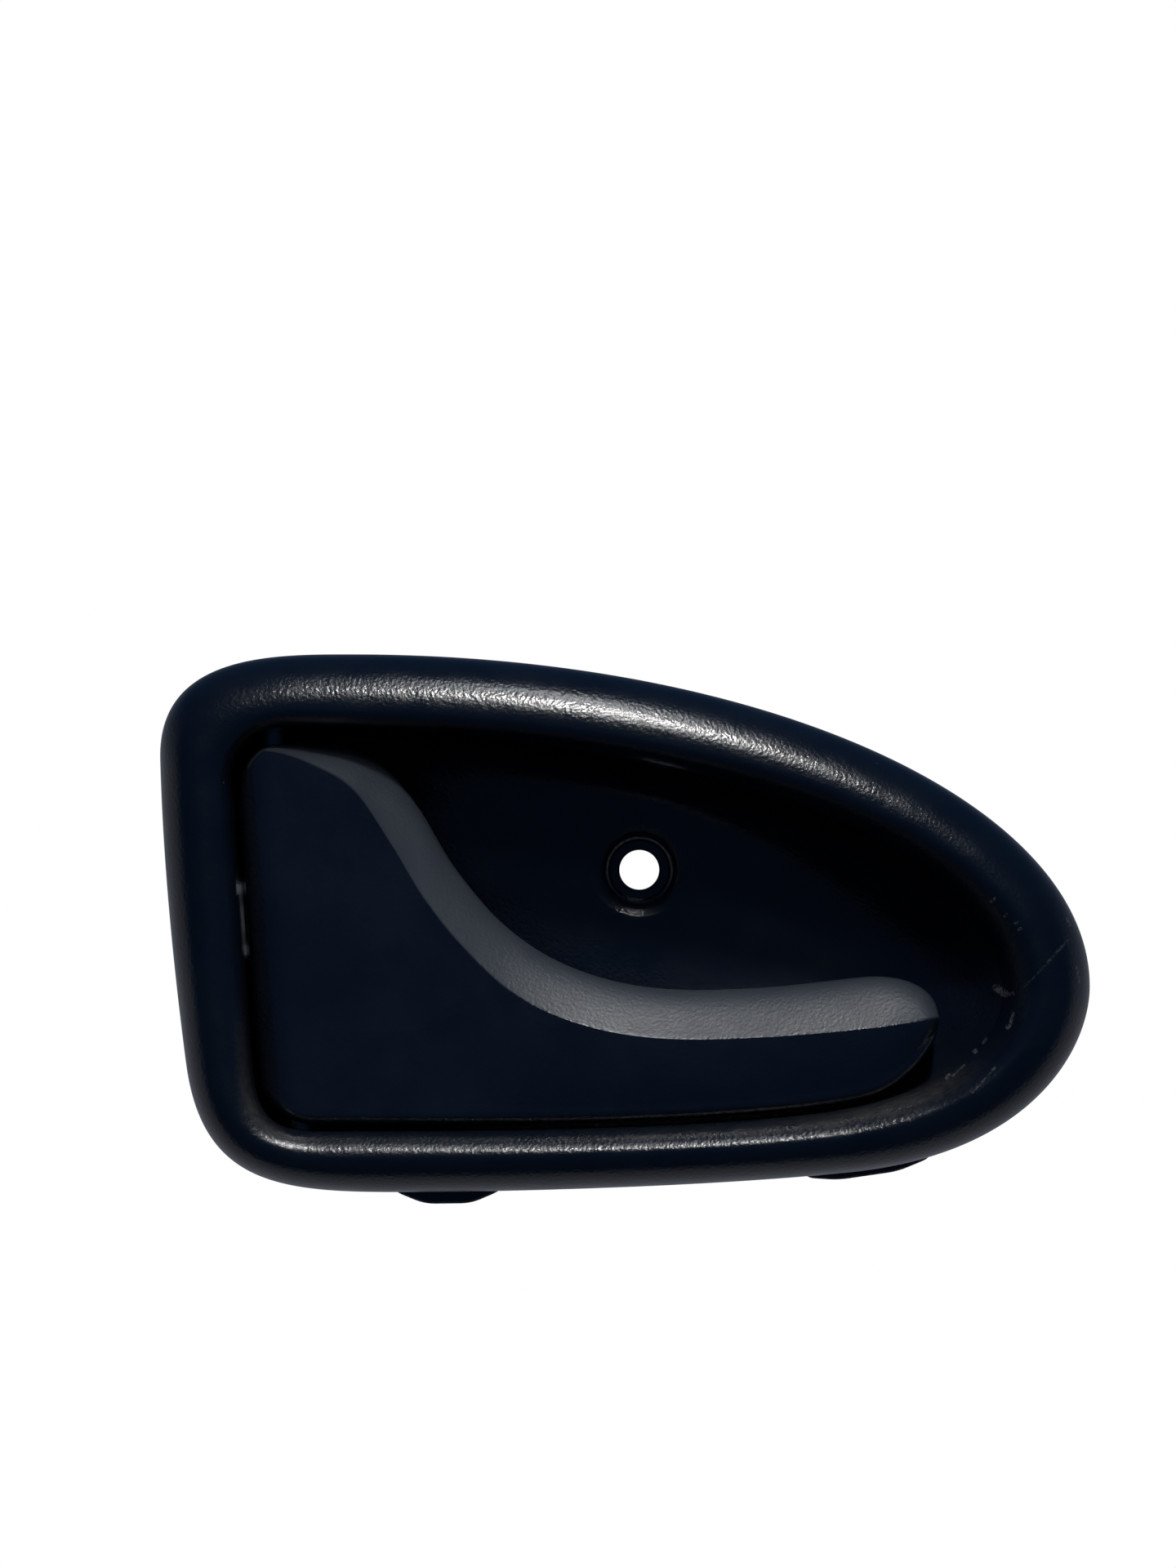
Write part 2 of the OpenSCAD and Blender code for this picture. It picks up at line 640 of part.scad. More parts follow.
// The arm reaches back through the window and ends in a fork round the swivel
fork_gap = arm_h / 2;
module lever_arm() {
    hinge_frame() translate([0, hinge_d, arm_v]) difference() {
        union() {
            translate([-arm_w / 2, 0, -arm_h / 2]) cube([arm_w, arm_len, arm_h]);
            translate([0, arm_len, -arm_h / 2])
                cylinder(h = arm_h, r = arm_w / 2, $fn = exact_fn);
        }
        translate([-arm_w, arm_len - arm_w * 0.75, -fork_gap / 2])
            cube([2 * arm_w, 2 * arm_w, fork_gap]);
    }
}

module lever() {
    color(plastic) difference() {
        union() {
            lever_shell();
            lever_barrels();
            lever_arm();
        }
        hinge_frame() {
            translate([0, hinge_d, -body_h])
                cylinder(h = 2 * body_h, r = pin_r + pin_clear, $fn = exact_fn);
            translate([0, hinge_d + arm_len, arm_v - arm_h])
                cylinder(h = 2 * arm_h, r = swivel_r + pin_clear, $fn = exact_fn);
            spring_room();
        }
    }
}

// The pin's head rests on the upper boss, and the clip's groove is under the lower one
head_h = 1.2;
head_r = pin_r * 1.7;
head_edge = 0.5;
clip_t = 0.8;
clip_r = pin_r * 1.8;
groove_r = pin_r * 0.7;
groove_clear = 0.05;
pin_tail = 0.8;
clip_v = mouth_low_v - wall - low_boss_len - face_clear - clip_t;
pin_top_v = mouth_top_v + wall + hinge_boss_len + face_clear;
module hinge_pin() {
    low = clip_v - pin_tail;
    groove_low = clip_v - groove_clear;
    groove_top = clip_v + clip_t + groove_clear;
    top = pin_top_v + head_h;
    color(steel) hinge_frame() translate([0, hinge_d, 0]) rotate_extrude($fn = exact_fn)
        polygon([[0, low], [pin_r - head_edge, low], [pin_r, low + head_edge],
            [pin_r, groove_low], [groove_r, groove_low],
            [groove_r, groove_top], [pin_r, groove_top],
            [pin_r, pin_top_v], [head_r, pin_top_v],
            [head_r, top - head_edge], [head_r - head_edge, top], [0, top]]);
}

// An open clip that snaps on the groove from the front. Two notches beside its middle
// lug let it spread.
module pin_clip() {
    notch_r = clip_r / 5;
    notch_at = groove_r + notch_r;
    mouth_w = 1.7 * groove_r;
    color(steel) hinge_frame() translate([0, hinge_d, clip_v])
        linear_extrude(height = clip_t) difference() {
            circle(r = clip_r, $fn = exact_fn);
            circle(r = groove_r + seat_clear, $fn = exact_fn);
            translate([-mouth_w / 2, 0]) square([mouth_w, 2 * clip_r]);
            for (side = [-1, 1]) rotate(side * 50) translate([0, -notch_at])
                circle(r = notch_r, $fn = exact_fn);
        }
}

// The spring's wire: a leg against the arm, the coil, and a leg against the mouth's
// straight wall. Points are [across, depth from the hinge's axis, height].
arm_side = arm_w / 2 + wire_d / 2 + face_clear;
wall_side = roll_r + lever_gap - draft - wire_d / 2 - face_clear;
leg_v = coil_low_v - 0.42 * arm_h;
coil_steps = 14;
spring_path = concat(
    [[arm_side, arm_leg_len, leg_v], [arm_side, 0.8 * arm_leg_len, leg_v],
        [arm_side, 0.62 * arm_leg_len, coil_low_v + 0.4 * (leg_v - coil_low_v)],
        [arm_side, 0.42 * arm_leg_len, coil_low_v],
        [coil_r + 0.1, 0.2 * arm_leg_len, coil_low_v]],
    [for (i = [0 : coil_turns * coil_steps]) let (a = 360 * i / coil_steps)
        [coil_r * cos(a), -coil_r * sin(a), coil_low_v + coil_pitch * i / coil_steps]],
    [[-coil_r - 0.1, 0.25 * wall_leg_len, coil_top_v],
        [-(coil_r + wall_side) / 2, 0.5 * wall_leg_len, coil_top_v],
        [-wall_side, 0.75 * wall_leg_len, coil_top_v],
        [-wall_side, wall_leg_len, coil_top_v]]
);

// A round wire along a path, with the hinge's axis never along it
module wire(path, r, sides) {
    n = len(path);
    rings = [for (i = [0 : n - 1])
        let (
            d = path[min(n - 1, i + 1)] - path[max(0, i - 1)],
            side = cross(d, [0, 0, 1]) / norm(cross(d, [0, 0, 1])),
            up = cross(side, d / norm(d))
        )
        [for (k = [0 : sides - 1])
            path[i] + r * (cos(360 * k / sides) * side + sin(360 * k / sides) * up)]];
    polyhedron(
        points = [for (ring = rings) each ring],
        faces = concat(
            [for (i = [0 : n - 2]) each ring_faces(0, i, n, sides, false)],
            [[for (k = [0 : sides - 1]) sides - 1 - k]],
            [[for (k = [0 : sides - 1]) (n - 1) * sides + k]]
        )
    );
}

module return_spring() {
    color(steel) hinge_frame() translate([0, hinge_d, 0]) wire(spring_path, wire_d / 2, 6);
}

module closed_stop_buffer() {
    color(rubber) hinge_frame() translate([buffer_u, buffer_top_d, buffer_v])
        rotate([-90, 0, 0]) {
            cylinder(h = buffer_h, r = buffer_r, $fn = exact_fn);
            cylinder(h = buffer_h + stem_len, r = stem_r, $fn = exact_fn);
        }
}

swivel_len = arm_h + 1;
module cable_swivel() {
    color(nylon) hinge_frame() translate([0, hinge_d + arm_len, arm_v])
        difference() {
            translate([0, 0, -swivel_len / 2])
                cylinder(h = swivel_len, r = swivel_r, $fn = exact_fn);
            rotate([0, 90, 0])
                translate([0, 0, -2 * swivel_r])
                    cylinder(h = 4 * swivel_r, r = cable_r, $fn = exact_fn);
        }
}

bezel();
lever();
hinge_pin();
pin_clip();
return_spring();
closed_stop_buffer();
cable_swivel();
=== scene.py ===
"""Looks of a car interior door handle: a teardrop bezel with a finger bowl and a sprung pull lever.

Sizes in the classes are millimetres. X runs along the bezel to its nose, Z is up and Y points into
the door. A depth is measured into the door from the crest of the rim. In the hinge's own frame a
point is (u, v, depth), with v up the hinge's axis. Meshes leave the classes in metres.
"""

import logging
import math
from dataclasses import dataclass, field
from enum import Enum
from functools import cached_property
from typing import Callable

import bpy
import numpy as np
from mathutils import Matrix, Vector


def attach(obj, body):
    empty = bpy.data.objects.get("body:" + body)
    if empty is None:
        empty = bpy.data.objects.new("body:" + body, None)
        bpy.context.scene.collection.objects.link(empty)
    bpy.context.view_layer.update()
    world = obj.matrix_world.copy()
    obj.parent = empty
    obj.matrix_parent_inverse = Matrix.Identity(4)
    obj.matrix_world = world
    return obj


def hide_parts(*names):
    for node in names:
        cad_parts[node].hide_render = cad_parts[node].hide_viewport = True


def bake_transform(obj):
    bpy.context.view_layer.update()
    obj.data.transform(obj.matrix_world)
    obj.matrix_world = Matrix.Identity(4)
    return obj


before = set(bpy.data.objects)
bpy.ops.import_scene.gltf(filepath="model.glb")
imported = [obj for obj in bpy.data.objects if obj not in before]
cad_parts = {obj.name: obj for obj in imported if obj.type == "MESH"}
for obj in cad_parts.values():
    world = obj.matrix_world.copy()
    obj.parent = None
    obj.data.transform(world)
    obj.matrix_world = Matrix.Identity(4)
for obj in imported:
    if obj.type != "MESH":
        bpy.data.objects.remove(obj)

Array = np.ndarray
Socket = bpy.types.NodeSocket
Pair = tuple[float, float]
Triple = tuple[float, float, float]
LOG = logging.getLogger("handle")
MM = 0.001
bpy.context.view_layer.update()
ROUND_SIDES = 72
CREASE_DEG = 32.0
CUT_EDGE = 0.01
MOUTH_TOP = (1.2, 3.0)
MOUTH_BOTTOM = (3.3, 5.8)


class Body(Enum):
    """The bodies that move as one."""

    BEZEL = "bezel"
    LEVER = "lever"
    SWIVEL = "cable_swivel"


class Slot(Enum):
    """The record's material slots."""

    BEZEL = "bezel_plastic"
    LEVER = "lever_plastic"
    PIN = "pin_steel"
    SPRING = "spring_steel"
    BUFFER = "buffer_rubber"
    SWIVEL = "swivel_nylon"


class Along(Enum):
    """The direction of a turned form's axis in the hinge's frame, as the order of its own
    (across, across, along) in (u, v, depth)."""

    HINGE = (0, 2, 1)
    DEPTH = (0, 1, 2)
    ACROSS = (1, 2, 0)


def ease(x: Array) -> Array:
    """A smooth step: half of one minus the cosine of x half turns.

    Args:
        x: Shares from 0 to 1.
    Returns:
        The eased shares.
    """
    return (1 - np.cos(np.pi * x)) / 2


def roll(x: Array, power: Array | float) -> Array:
    """A quarter superellipse that leaves 0 flat: 1 - (1 - x^p)^(1/p).

    Args:
        x: Shares from 0 to 1.
        power: The superellipse's power p.
    Returns:
        The depth of the roll as a share.
    """
    return 1 - np.clip(1 - np.clip(x, 0, 1) ** power, 0, 1) ** (1 / power)


def rise(x: Array, power: Array | float) -> Array:
    """A quarter superellipse that leaves 0 steeply: (1 - (1 - x)^p)^(1/p).

    Args:
        x: Shares from 0 to 1.
        power: The superellipse's power p.
    Returns:
        The height reached as a share.
    """
    return np.clip(1 - np.clip(1 - x, 0, 1) ** power, 0, 1) ** (1 / power)


def length(v: Array) -> Array:
    """Lengths of the vectors in the last axis, which is kept."""
    return np.linalg.norm(v, axis=-1, keepdims=True)


@dataclass(frozen=True)
class EdgeLoop:
    """A closed edge in X and Z, made of cubic arcs between anchors.

    An anchor is (x, z, heading in degrees, handle behind it, handle ahead of it).
    """

    anchors: tuple[tuple[float, ...], ...]
    centre: Pair

    def at(self, t: Array) -> Array:
        """Points of the edge: (1-s)^3 a + 3 (1-s)^2 s b + 3 (1-s) s^2 c + s^3 d on each arc.

        Args:
            t: Stations, where the whole part is the anchor and the rest is the share s.
        Returns:
            Points (n, 2) from the centre.
        """
        table = np.array(self.anchors)
        i = np.floor(t).astype(int) % len(table)
        s = (t - np.floor(t))[:, None]
        a, d = table[i], table[(i + 1) % len(table)]
        turn_a, turn_d = np.radians(a[:, 2:3]), np.radians(d[:, 2:3])
        b = a[:, :2] + a[:, 4:5] * np.hstack([np.cos(turn_a), np.sin(turn_a)])
        c = d[:, :2] - d[:, 3:4] * np.hstack([np.cos(turn_d), np.sin(turn_d)])
        point = (1 - s) ** 3 * a[:, :2] + 3 * (1 - s) ** 2 * s * b
        point = point + 3 * (1 - s) * s**2 * c + s**3 * d[:, :2]
        return point - np.array(self.centre)


@dataclass(frozen=True)
class Place:
    """A frame in the handle: its axis stands at x and leans by lean degrees from upright."""

    x: float
    lean: float
    seat_depth: float

    def point(self, uvd: Array) -> Array:
        """Turns (u, v, depth) in millimetres into (X, Y, Z) in metres.

        Args:
            uvd: Points (..., 3).
        Returns:
            Points (..., 3).
        """
        c, s = math.cos(math.radians(self.lean)), math.sin(math.radians(self.lean))
        u, v, d = uvd[..., 0], uvd[..., 1], uvd[..., 2]
        return MM * np.stack([self.x + u * c - v * s, d - self.seat_depth, u * s + v * c], -1)

    def flat(self, xz: Array) -> Array:
        """Turns X and Z into u and v, by turning them back through the lean.

        Args:
            xz: Points (n, 2).
        Returns:
            Points (n, 2).
        """
        c, s = math.cos(math.radians(self.lean)), math.sin(math.radians(self.lean))
        x = xz[:, 0] - self.x
        return np.stack([x * c + xz[:, 1] * s, xz[:, 1] * c - x * s], -1)


@dataclass
class Form:
    """A closed surface before it is a mesh: points in metres, and faces grouped by corner count."""

    points: Array
    faces: list[Array] = field(default_factory=list)

    def volume(self) -> float:
        """Signed volume: a sixth of p0 . (p1 x p2), summed over each face's fan of triangles.

        Returns:
            The volume, above 0 where the faces point outwards.
        """
        total = 0.0
        for group in self.faces:
            p = self.points[group]
            fan = np.einsum("ij,ikj->ik", p[:, 0], np.cross(p[:, 1:-1], p[:, 2:]))
            total += fan.sum() / 6
        return total

    def plus(self, other: "Form") -> "Form":
        """This form and another, which doesn't touch it, as one."""
        moved = [group + len(self.points) for group in other.faces]
        return Form(np.vstack([self.points, other.points]), self.faces + moved)

    def solid(self, name: str) -> bpy.types.Object:
        """Makes the form an object, with its faces outwards.

        Args:
            name: The object's name.
        Returns:
            The new object, at the origin.
        """
        turned = self.volume() < 0
        groups = [group[:, ::-1] if turned else group for group in self.faces]
        corners = np.concatenate([group.ravel() for group in groups])
        counts = np.concatenate([np.full(len(group), group.shape[1]) for group in groups])
        mesh = bpy.data.meshes.new(name)
        mesh.vertices.add(len(self.points))
        mesh.vertices.foreach_set("co", self.points.ravel())
        mesh.loops.add(len(corners))
        mesh.loops.foreach_set("vertex_index", corners.astype(np.int32))
        mesh.polygons.add(len(counts))
        mesh.polygons.foreach_set("loop_start", (np.cumsum(counts) - counts).astype(np.int32))
        mesh.update(calc_edges=True)
        obj = bpy.data.objects.new(name, mesh)
        bpy.context.scene.collection.objects.link(obj)
        return obj


def skin(grid: Array, ring: bool) -> Form:
    """A closed surface over a grid of points, whose rows are closed loops.

    Args:
        grid: Points (rows, columns, 3) in metres.
        ring: True if the last row meets the first, and False if flat faces close both ends.
    Returns:
        The form.
    """
    rows, cols = grid.shape[:2]
    i = np.arange(rows if ring else rows - 1)[:, None]
    j = np.arange(cols)[None, :]
    after, beside = (i + 1) % rows, (j + 1) % cols
    quads = np.stack([i * cols + j, i * cols + beside, after * cols + beside, after * cols + j], -1)
    faces = [quads.reshape(-1, 4)]
    if not ring:
        faces += [np.arange(cols)[None, ::-1], (rows - 1) * cols + np.arange(cols)[None, :]]
    return Form(grid.reshape(-1, 3), faces)


def turned(place: Place, at: Triple, along: Along, profile: list[Pair]) -> Form:
    """A profile turned round an axis: across = r cos(a), r sin(a) and along = h.

    Args:
        place: The frame that it stands in.
        at: Its origin as (u, v, depth).
        along: The direction of its axis.
        profile: Points (radius, way along the axis), from one end to the other.
    Returns:
        The closed form.
    """
    r, h = np.array(profile).T[:, :, None]
    a = np.linspace(0, 2 * np.pi, ROUND_SIDES, endpoint=False)[None, :]
    own = np.stack([r * np.cos(a), r * np.sin(a), h + 0 * a], -1)
    uvd = np.empty_like(own)
    uvd[..., list(along.value)] = own
    return skin(place.point(uvd + np.array(at)), ring=False)


def rod(radius: float, low: float, high: float, edge: float = 0.3) -> list[Pair]:
    """The profile of a plain rod from low to high, whose ends are broken by a small edge."""
    return [(radius - edge, low), (radius, low + edge), (radius, high - edge), (radius - edge, high)]


def rounded(corners: list[Pair] | Array, radius: float, steps: int = 6) -> Array:
    """An outline whose corners are rounded: (1-s)^2 a + 2 s (1-s) p + s^2 b at each corner p.

    Args:
        corners: The outline's corners.
        radius: How far before and after a corner its curve starts.
        steps: Points on each curve.
    Returns:
        Points (n, 2).
    """
    p = np.array(corners, float)
    before, after = np.roll(p, 1, axis=0) - p, np.roll(p, -1, axis=0) - p
    reach_a = np.minimum(radius, length(before) * 0.45)
    reach_b = np.minimum(radius, length(after) * 0.45)
    a, b = (p + v / length(v) * r for v, r in ((before, reach_a), (after, reach_b)))
    s = np.linspace(0, 1, steps)[None, :, None]
    curves = (1 - s) ** 2 * a[:, None] + 2 * s * (1 - s) * p[:, None] + s**2 * b[:, None]
    return curves.reshape(-1, 2)


def plate(outline: Array, low: float, high: float, edge: float, place: Callable[[Array], Array]) -> Form:
    """An outline carried from low to high, with a small edge all round both faces.

    Args:
        outline: Points (n, 2).
        low: Where the plate starts, square to the outline.
        high: Where it ends.
        edge: Width of the broken edge.
        place: Turns (p, q, way) points into metres.
    Returns:
        The closed form.
    """
    ahead = np.roll(outline, -1, axis=0)
    before, after = outline - np.roll(outline, 1, axis=0), ahead - outline
    along = before / length(before) + after / length(after)
    normal = np.stack([along[:, 1], -along[:, 0]], -1) / length(along)
    area = np.sum(outline[:, 0] * ahead[:, 1] - outline[:, 1] * ahead[:, 0])
    small = outline - math.copysign(edge, area) * normal
    rings = [(small, low), (outline, low + edge), (outline, high - edge), (small, high)]
    points = np.stack([np.column_stack([ring, np.full(len(ring), way)]) for ring, way in rings])
    return skin(place(points), ring=False)


def shaped(base: bpy.types.Object, added: list[bpy.types.Object], cut: list[bpy.types.Object]) -> None:
    """Joins closed solids to a base and cuts others from it, and keeps only the base.

    Args:
        base: The solid that is changed.
        added: Solids joined to it.
        cut: Solids taken from it.
    """
    for operation, tools in (("UNION", added), ("DIFFERENCE", cut)):
        for tool in tools:
            step = base.modifiers.new(tool.name, "BOOLEAN")
            step.operation = operation
            step.solver = "MANIFOLD"
            step.object = tool
    made = bpy.data.meshes.new_from_object(base.evaluated_get(bpy.context.evaluated_depsgraph_get()))
    base.modifiers.clear()
    base.data = made
    for tool in added + cut:
        bpy.data.objects.remove(tool)


def smooth(obj: bpy.types.Object) -> None:
    """Shades a mesh smooth, and keeps each edge sharp where its faces differ by CREASE_DEG.

    The corners are sorted by their edge, so that each edge's two faces stand side by side.

    Args:
        obj: The object.
    """
    mesh = obj.data
    mesh.polygons.foreach_set("use_smooth", np.ones(len(mesh.polygons), bool))
    normals = np.empty(3 * len(mesh.polygons))
    mesh.polygons.foreach_get("normal", normals)
    normals = normals.reshape(-1, 3)
    edge_of = np.empty(len(mesh.loops), np.int32)
    mesh.loops.foreach_get("edge_index", edge_of)
    counts = np.empty(len(mesh.polygons), np.int32)
    mesh.polygons.foreach_get("loop_total", counts)
    owner = np.repeat(np.arange(len(counts)), counts)
    order = np.argsort(edge_of, kind="stable")
    pairs = owner[order][: 2 * (len(order) // 2)].reshape(-1, 2)
    paired = edge_of[order][: 2 * len(pairs)].reshape(-1, 2)
    turn = np.einsum("ij,ij->i", normals[pairs[:, 0]], normals[pairs[:, 1]])
    sharp = np.zeros(len(mesh.edges), bool)
    sharp[paired[:, 0]] = turn < math.cos(math.radians(CREASE_DEG))
    mark = mesh.attributes.get("sharp_edge") or mesh.attributes.new("sharp_edge", "BOOLEAN", "EDGE")
    mark.data.foreach_set("value", sharp)


def corners_of(obj: bpy.types.Object) -> Array:
    """The object's mesh points.

    Args:
        obj: The object.
    Returns:
        Points (n, 3) in millimetres.
    """
    out = np.empty(3 * len(obj.data.vertices))
    obj.data.vertices.foreach_get("co", out)
    return out.reshape(-1, 3) / MM


def put_value(obj: bpy.types.Object, name: str, values: Array) -> None:
    """Stores one number for each mesh point as an attribute."""
    attribute = obj.data.attributes.new(name, "FLOAT", "POINT")
    attribute.data.foreach_set("value", values.astype(np.float32))


class Nodes:
    """A node tree, with short ways to add and join its nodes."""

    def __init__(self, tree: bpy.types.NodeTree) -> None:
        """Keeps the tree.

        Args:
            tree: The node tree.
        """
        self.tree = tree

    def add(self, kind: str, **values: object) -> bpy.types.Node:
        """Adds a node and sets its named properties.

        Args:
            kind: The node's type.
            values: Its properties.
        Returns:
            The node.
        """
        node = self.tree.nodes.new(kind)
        for key, value in values.items():
            setattr(node, key, value)
        return node

    def feed(self, socket: Socket, value: object) -> None:
        """Joins a socket to an output, or sets it to a plain value.

        Args:
            socket: The input.
            value: An output, a number, a vector or a colour.
        """
        if isinstance(value, Socket):
            self.tree.links.new(value, socket)
        else:
            socket.default_value = value

    def joined(self, node: bpy.types.Node, *values: object) -> bpy.types.Node:
        """Feeds a node's inputs in their order.

        Args:
            node: The node.
            values: What its inputs take.
        Returns:
            The node.
        """
        for socket, value in zip(node.inputs, values):
            self.feed(socket, value)
        return node

    def math(self, operation: str, *values: object, clamp: bool = False) -> Socket:
        """The result of one math operation on sockets or numbers."""
        node = self.add("ShaderNodeMath", operation=operation, use_clamp=clamp)
        return self.joined(node, *values).outputs[0]

    def vector(self, operation: str, *values: object) -> bpy.types.Node:
        """A vector operation on sockets or vectors."""
        return self.joined(self.add("ShaderNodeVectorMath", operation=operation), *values)

    def ramp(self, value: object, low: float, high: float, start: float = 0.0, end: float = 1.0) -> Socket:
        """A smooth step from start to end as value goes from low to high."""
        node = self.add("ShaderNodeMapRange", interpolation_type="SMOOTHSTEP")
        return self.joined(node, value, low, high, start, end).outputs[0]


class Graph(Nodes):
    """A material's nodes, round a principled shader."""

    def __init__(self, name: str) -> None:
        """Starts a material with a plain principled shader.

        Args:
            name: The material's name.
        """
        self.material = bpy.data.materials.new(name)
        self.material.use_nodes = True
        super().__init__(self.material.node_tree)
        self.shader = self.tree.nodes["Principled BSDF"]
        self.coords = self.add("ShaderNodeTexCoord").outputs["Object"]

    def noise(
        self, size_mm: float, detail: float = 2.0, rough: float = 0.5, stretch: Triple = (1, 1, 1)
    ) -> Socket:
        """Noise from 0 to 1 on the object's own coordinates.

        Args:
            size_mm: Rough size of its features.
            detail: How many finer layers it has.
            rough: How much each finer layer adds.
            stretch: What the coordinates are multiplied by.
        Returns:
            The noise.
        """
        mapped = self.vector("MULTIPLY", self.coords, stretch).outputs[0]
        node = self.add("ShaderNodeTexNoise")
        values = {"Vector": mapped, "Scale": 1 / (size_mm * MM), "Detail": detail, "Roughness": rough}
        for key, value in values.items():
            self.feed(node.inputs[key], value)
        return node.outputs["Fac"]

    def mix(self, share: object, a: object, b: object) -> Socket:
        """A colour from a to b by share.

        Args:
            share: 0 for a and 1 for b.
            a: The first colour.
            b: The second colour.
        Returns:
            The colour.
        """
        node = self.add("ShaderNodeMix", data_type="RGBA")
        for key, value in (("Factor_Float", share), ("A_Color", a), ("B_Color", b)):
            self.feed(next(s for s in node.inputs if s.identifier == key), value)
        return next(s for s in node.outputs if s.identifier == "Result_Color")

    def bump(self, height: object, depth_mm: float) -> Socket:
        """A normal bent by a height.

        Args:
            height: Heights from 0 to 1.
            depth_mm: How deep a height of 1 is.
        Returns:
            The normal.
        """
        node = self.add("ShaderNodeBump")
        for key, value in (("Strength", 1.0), ("Distance", depth_mm * MM), ("Height", height)):
            self.feed(node.inputs[key], value)
        return node.outputs["Normal"]

    def set(self, **sockets: object) -> None:
        """Feeds the shader's sockets, named with underscores for spaces."""
        for key, value in sockets.items():
            self.feed(self.shader.inputs[key.replace("_", " ")], value)


@dataclass(frozen=True)
class Scuff:
    """A worn mark between two points in X and Z, with its half width and its strength."""

    start: Pair
    end: Pair
    half_width: float
    strength: float


@dataclass(frozen=True)
class SatinPlastic:
    """Grained black plastic with a navy tint, a satin gloss, dust in its corners, scuffs, and painted
    light: a paler, rougher band where light falls from above.
    """

    name: str
    colour: Triple = (0.0016, 0.0040, 0.0098)
    faded: Triple = (0.0028, 0.0056, 0.0120)
    dust_colour: Triple = (0.030, 0.029, 0.026)
    scuff_colour: Triple = (0.16, 0.165, 0.17)
    # The lever's upward band is painted this paler colour: painted light from above.
    band_light_colour: Triple = (0.026, 0.032, 0.043)
    roughness: float = 0.23
    band_roughness: float = 0.46
    grain_mm: float = 0.55
    grain_depth: float = 0.06
    speck_gap: float = 7.0
    speck_r: float = 0.16
    speck_share: float = 0.10
    speck_strength: float = 0.35
    dulling: float = 0.35
    scuffs: tuple[Scuff, ...] = ()

    def scuff_mask(self, g: Graph) -> Socket:
        """Strength of the scuffs: for each, one minus the distance to its line over its half
        width, broken up by noise.

        Args:
            g: The material's nodes.
        Returns:
            A socket from 0 to 1.
        """
        flat = g.vector("MULTIPLY", g.coords, (1, 0, 1)).outputs[0]
        ragged = g.ramp(g.noise(0.5, 3.0, 0.65), 0.36, 0.62)
        total: object = 0.0
        for scuff in self.scuffs:
            start = Vector((scuff.start[0], 0, scuff.start[1])) * MM
            line = Vector((scuff.end[0], 0, scuff.end[1])) * MM - start
            away = g.vector("SUBTRACT", flat, start).outputs[0]
            along = g.vector("DOT_PRODUCT", away, line).outputs["Value"]
            share = g.math("DIVIDE", along, max(line.length_squared, 1e-12), clamp=True)
            on_line = g.vector("SCALE", line)
            g.feed(on_line.inputs["Scale"], share)
            gap = g.vector("DISTANCE", away, on_line.outputs[0]).outputs["Value"]
            edge = scuff.half_width * MM
            mark = g.ramp(gap, edge, edge * 0.25, 0.0, scuff.strength)
            total = g.math("MAXIMUM", total, mark)
        return g.math("MULTIPLY", total, ragged)

    def speck_mask(self, g: Graph) -> Socket:
        """Small specks of dust: the middles of a few random cells.

        Args:
            g: The material's nodes.
        Returns:
            A socket from 0 to 1.
        """
        cells = g.add("ShaderNodeTexVoronoi")
        g.feed(cells.inputs["Vector"], g.coords)
        g.feed(cells.inputs["Scale"], 1 / (self.speck_gap * MM))
        edge = self.speck_r / self.speck_gap
        near = g.ramp(cells.outputs["Distance"], edge, 0.4 * edge)
        pick = g.add("ShaderNodeSeparateColor")
        g.feed(pick.inputs[0], cells.outputs["Color"])
        return g.math("MULTIPLY", near, g.math("LESS_THAN", pick.outputs[0], self.speck_share))

    def grain(self, g: Graph) -> Socket:
        """The moulded grain: fine noise and round cells, as a bent normal.

        Args:
            g: The material's nodes.
        Returns:
            The normal.
        """
        fine = g.noise(self.grain_mm, 2.5, 0.55)
        cells = g.add("ShaderNodeTexVoronoi", feature="SMOOTH_F1")
        g.feed(cells.inputs["Vector"], g.coords)
        g.feed(cells.inputs["Scale"], 1 / (0.9 * self.grain_mm * MM))
        height = g.math("ADD", fine, g.math("MULTIPLY", cells.outputs["Distance"], 0.45))
        return g.bump(height, self.grain_depth)

    def build(self) -> bpy.types.Material:
        """Makes the material. The colour goes from the plain plastic to its faded patches, the
        band painted paler as painted light from above, the dust and the scuffs, and the roughness follows.

        Returns:
            The material.
        """
        g = Graph(self.name)
        cloudy = g.ramp(g.noise(14, 4.0, 0.6), 0.38, 0.68)
        # Painted light: this mask paints the lever's upward band paler, as light from above would, and also
        # makes it rougher.
        painted_light_band = g.add("ShaderNodeAttribute", attribute_name="painted_light_band").outputs["Fac"]
        base = g.mix(painted_light_band, g.mix(cloudy, (*self.colour, 1), (*self.faded, 1)), (*self.band_light_colour, 1))
        settled = g.add("ShaderNodeAttribute", attribute_name="dust").outputs["Fac"]
        patchy = g.ramp(g.noise(0.9, 4.0, 0.7, (0.5, 1, 1)), 0.25, 0.75, 0.35, 1.0)
        dust = g.math("MULTIPLY", settled, patchy)
        specks = g.math("MULTIPLY", self.speck_mask(g), self.speck_strength)
        marks = g.math("MAXIMUM", specks, self.scuff_mask(g))
        coloured = g.mix(marks, g.mix(dust, base, (*self.dust_colour, 1)), (*self.scuff_colour, 1))
        dull = g.math("MULTIPLY", g.math("MAXIMUM", dust, marks), self.dulling)
        vary = g.ramp(g.noise(5, 3.0, 0.6), 0.3, 0.7, -0.025, 0.035)
        more = self.band_roughness - self.roughness
        smooth_rough = g.math("ADD", g.math("MULTIPLY", painted_light_band, more), self.roughness)
        rough = g.math("ADD", g.math("ADD", smooth_rough, vary), dull)
        g.set(Base_Color=coloured, Roughness=rough, Normal=self.grain(g), IOR=1.5)
        return g.material


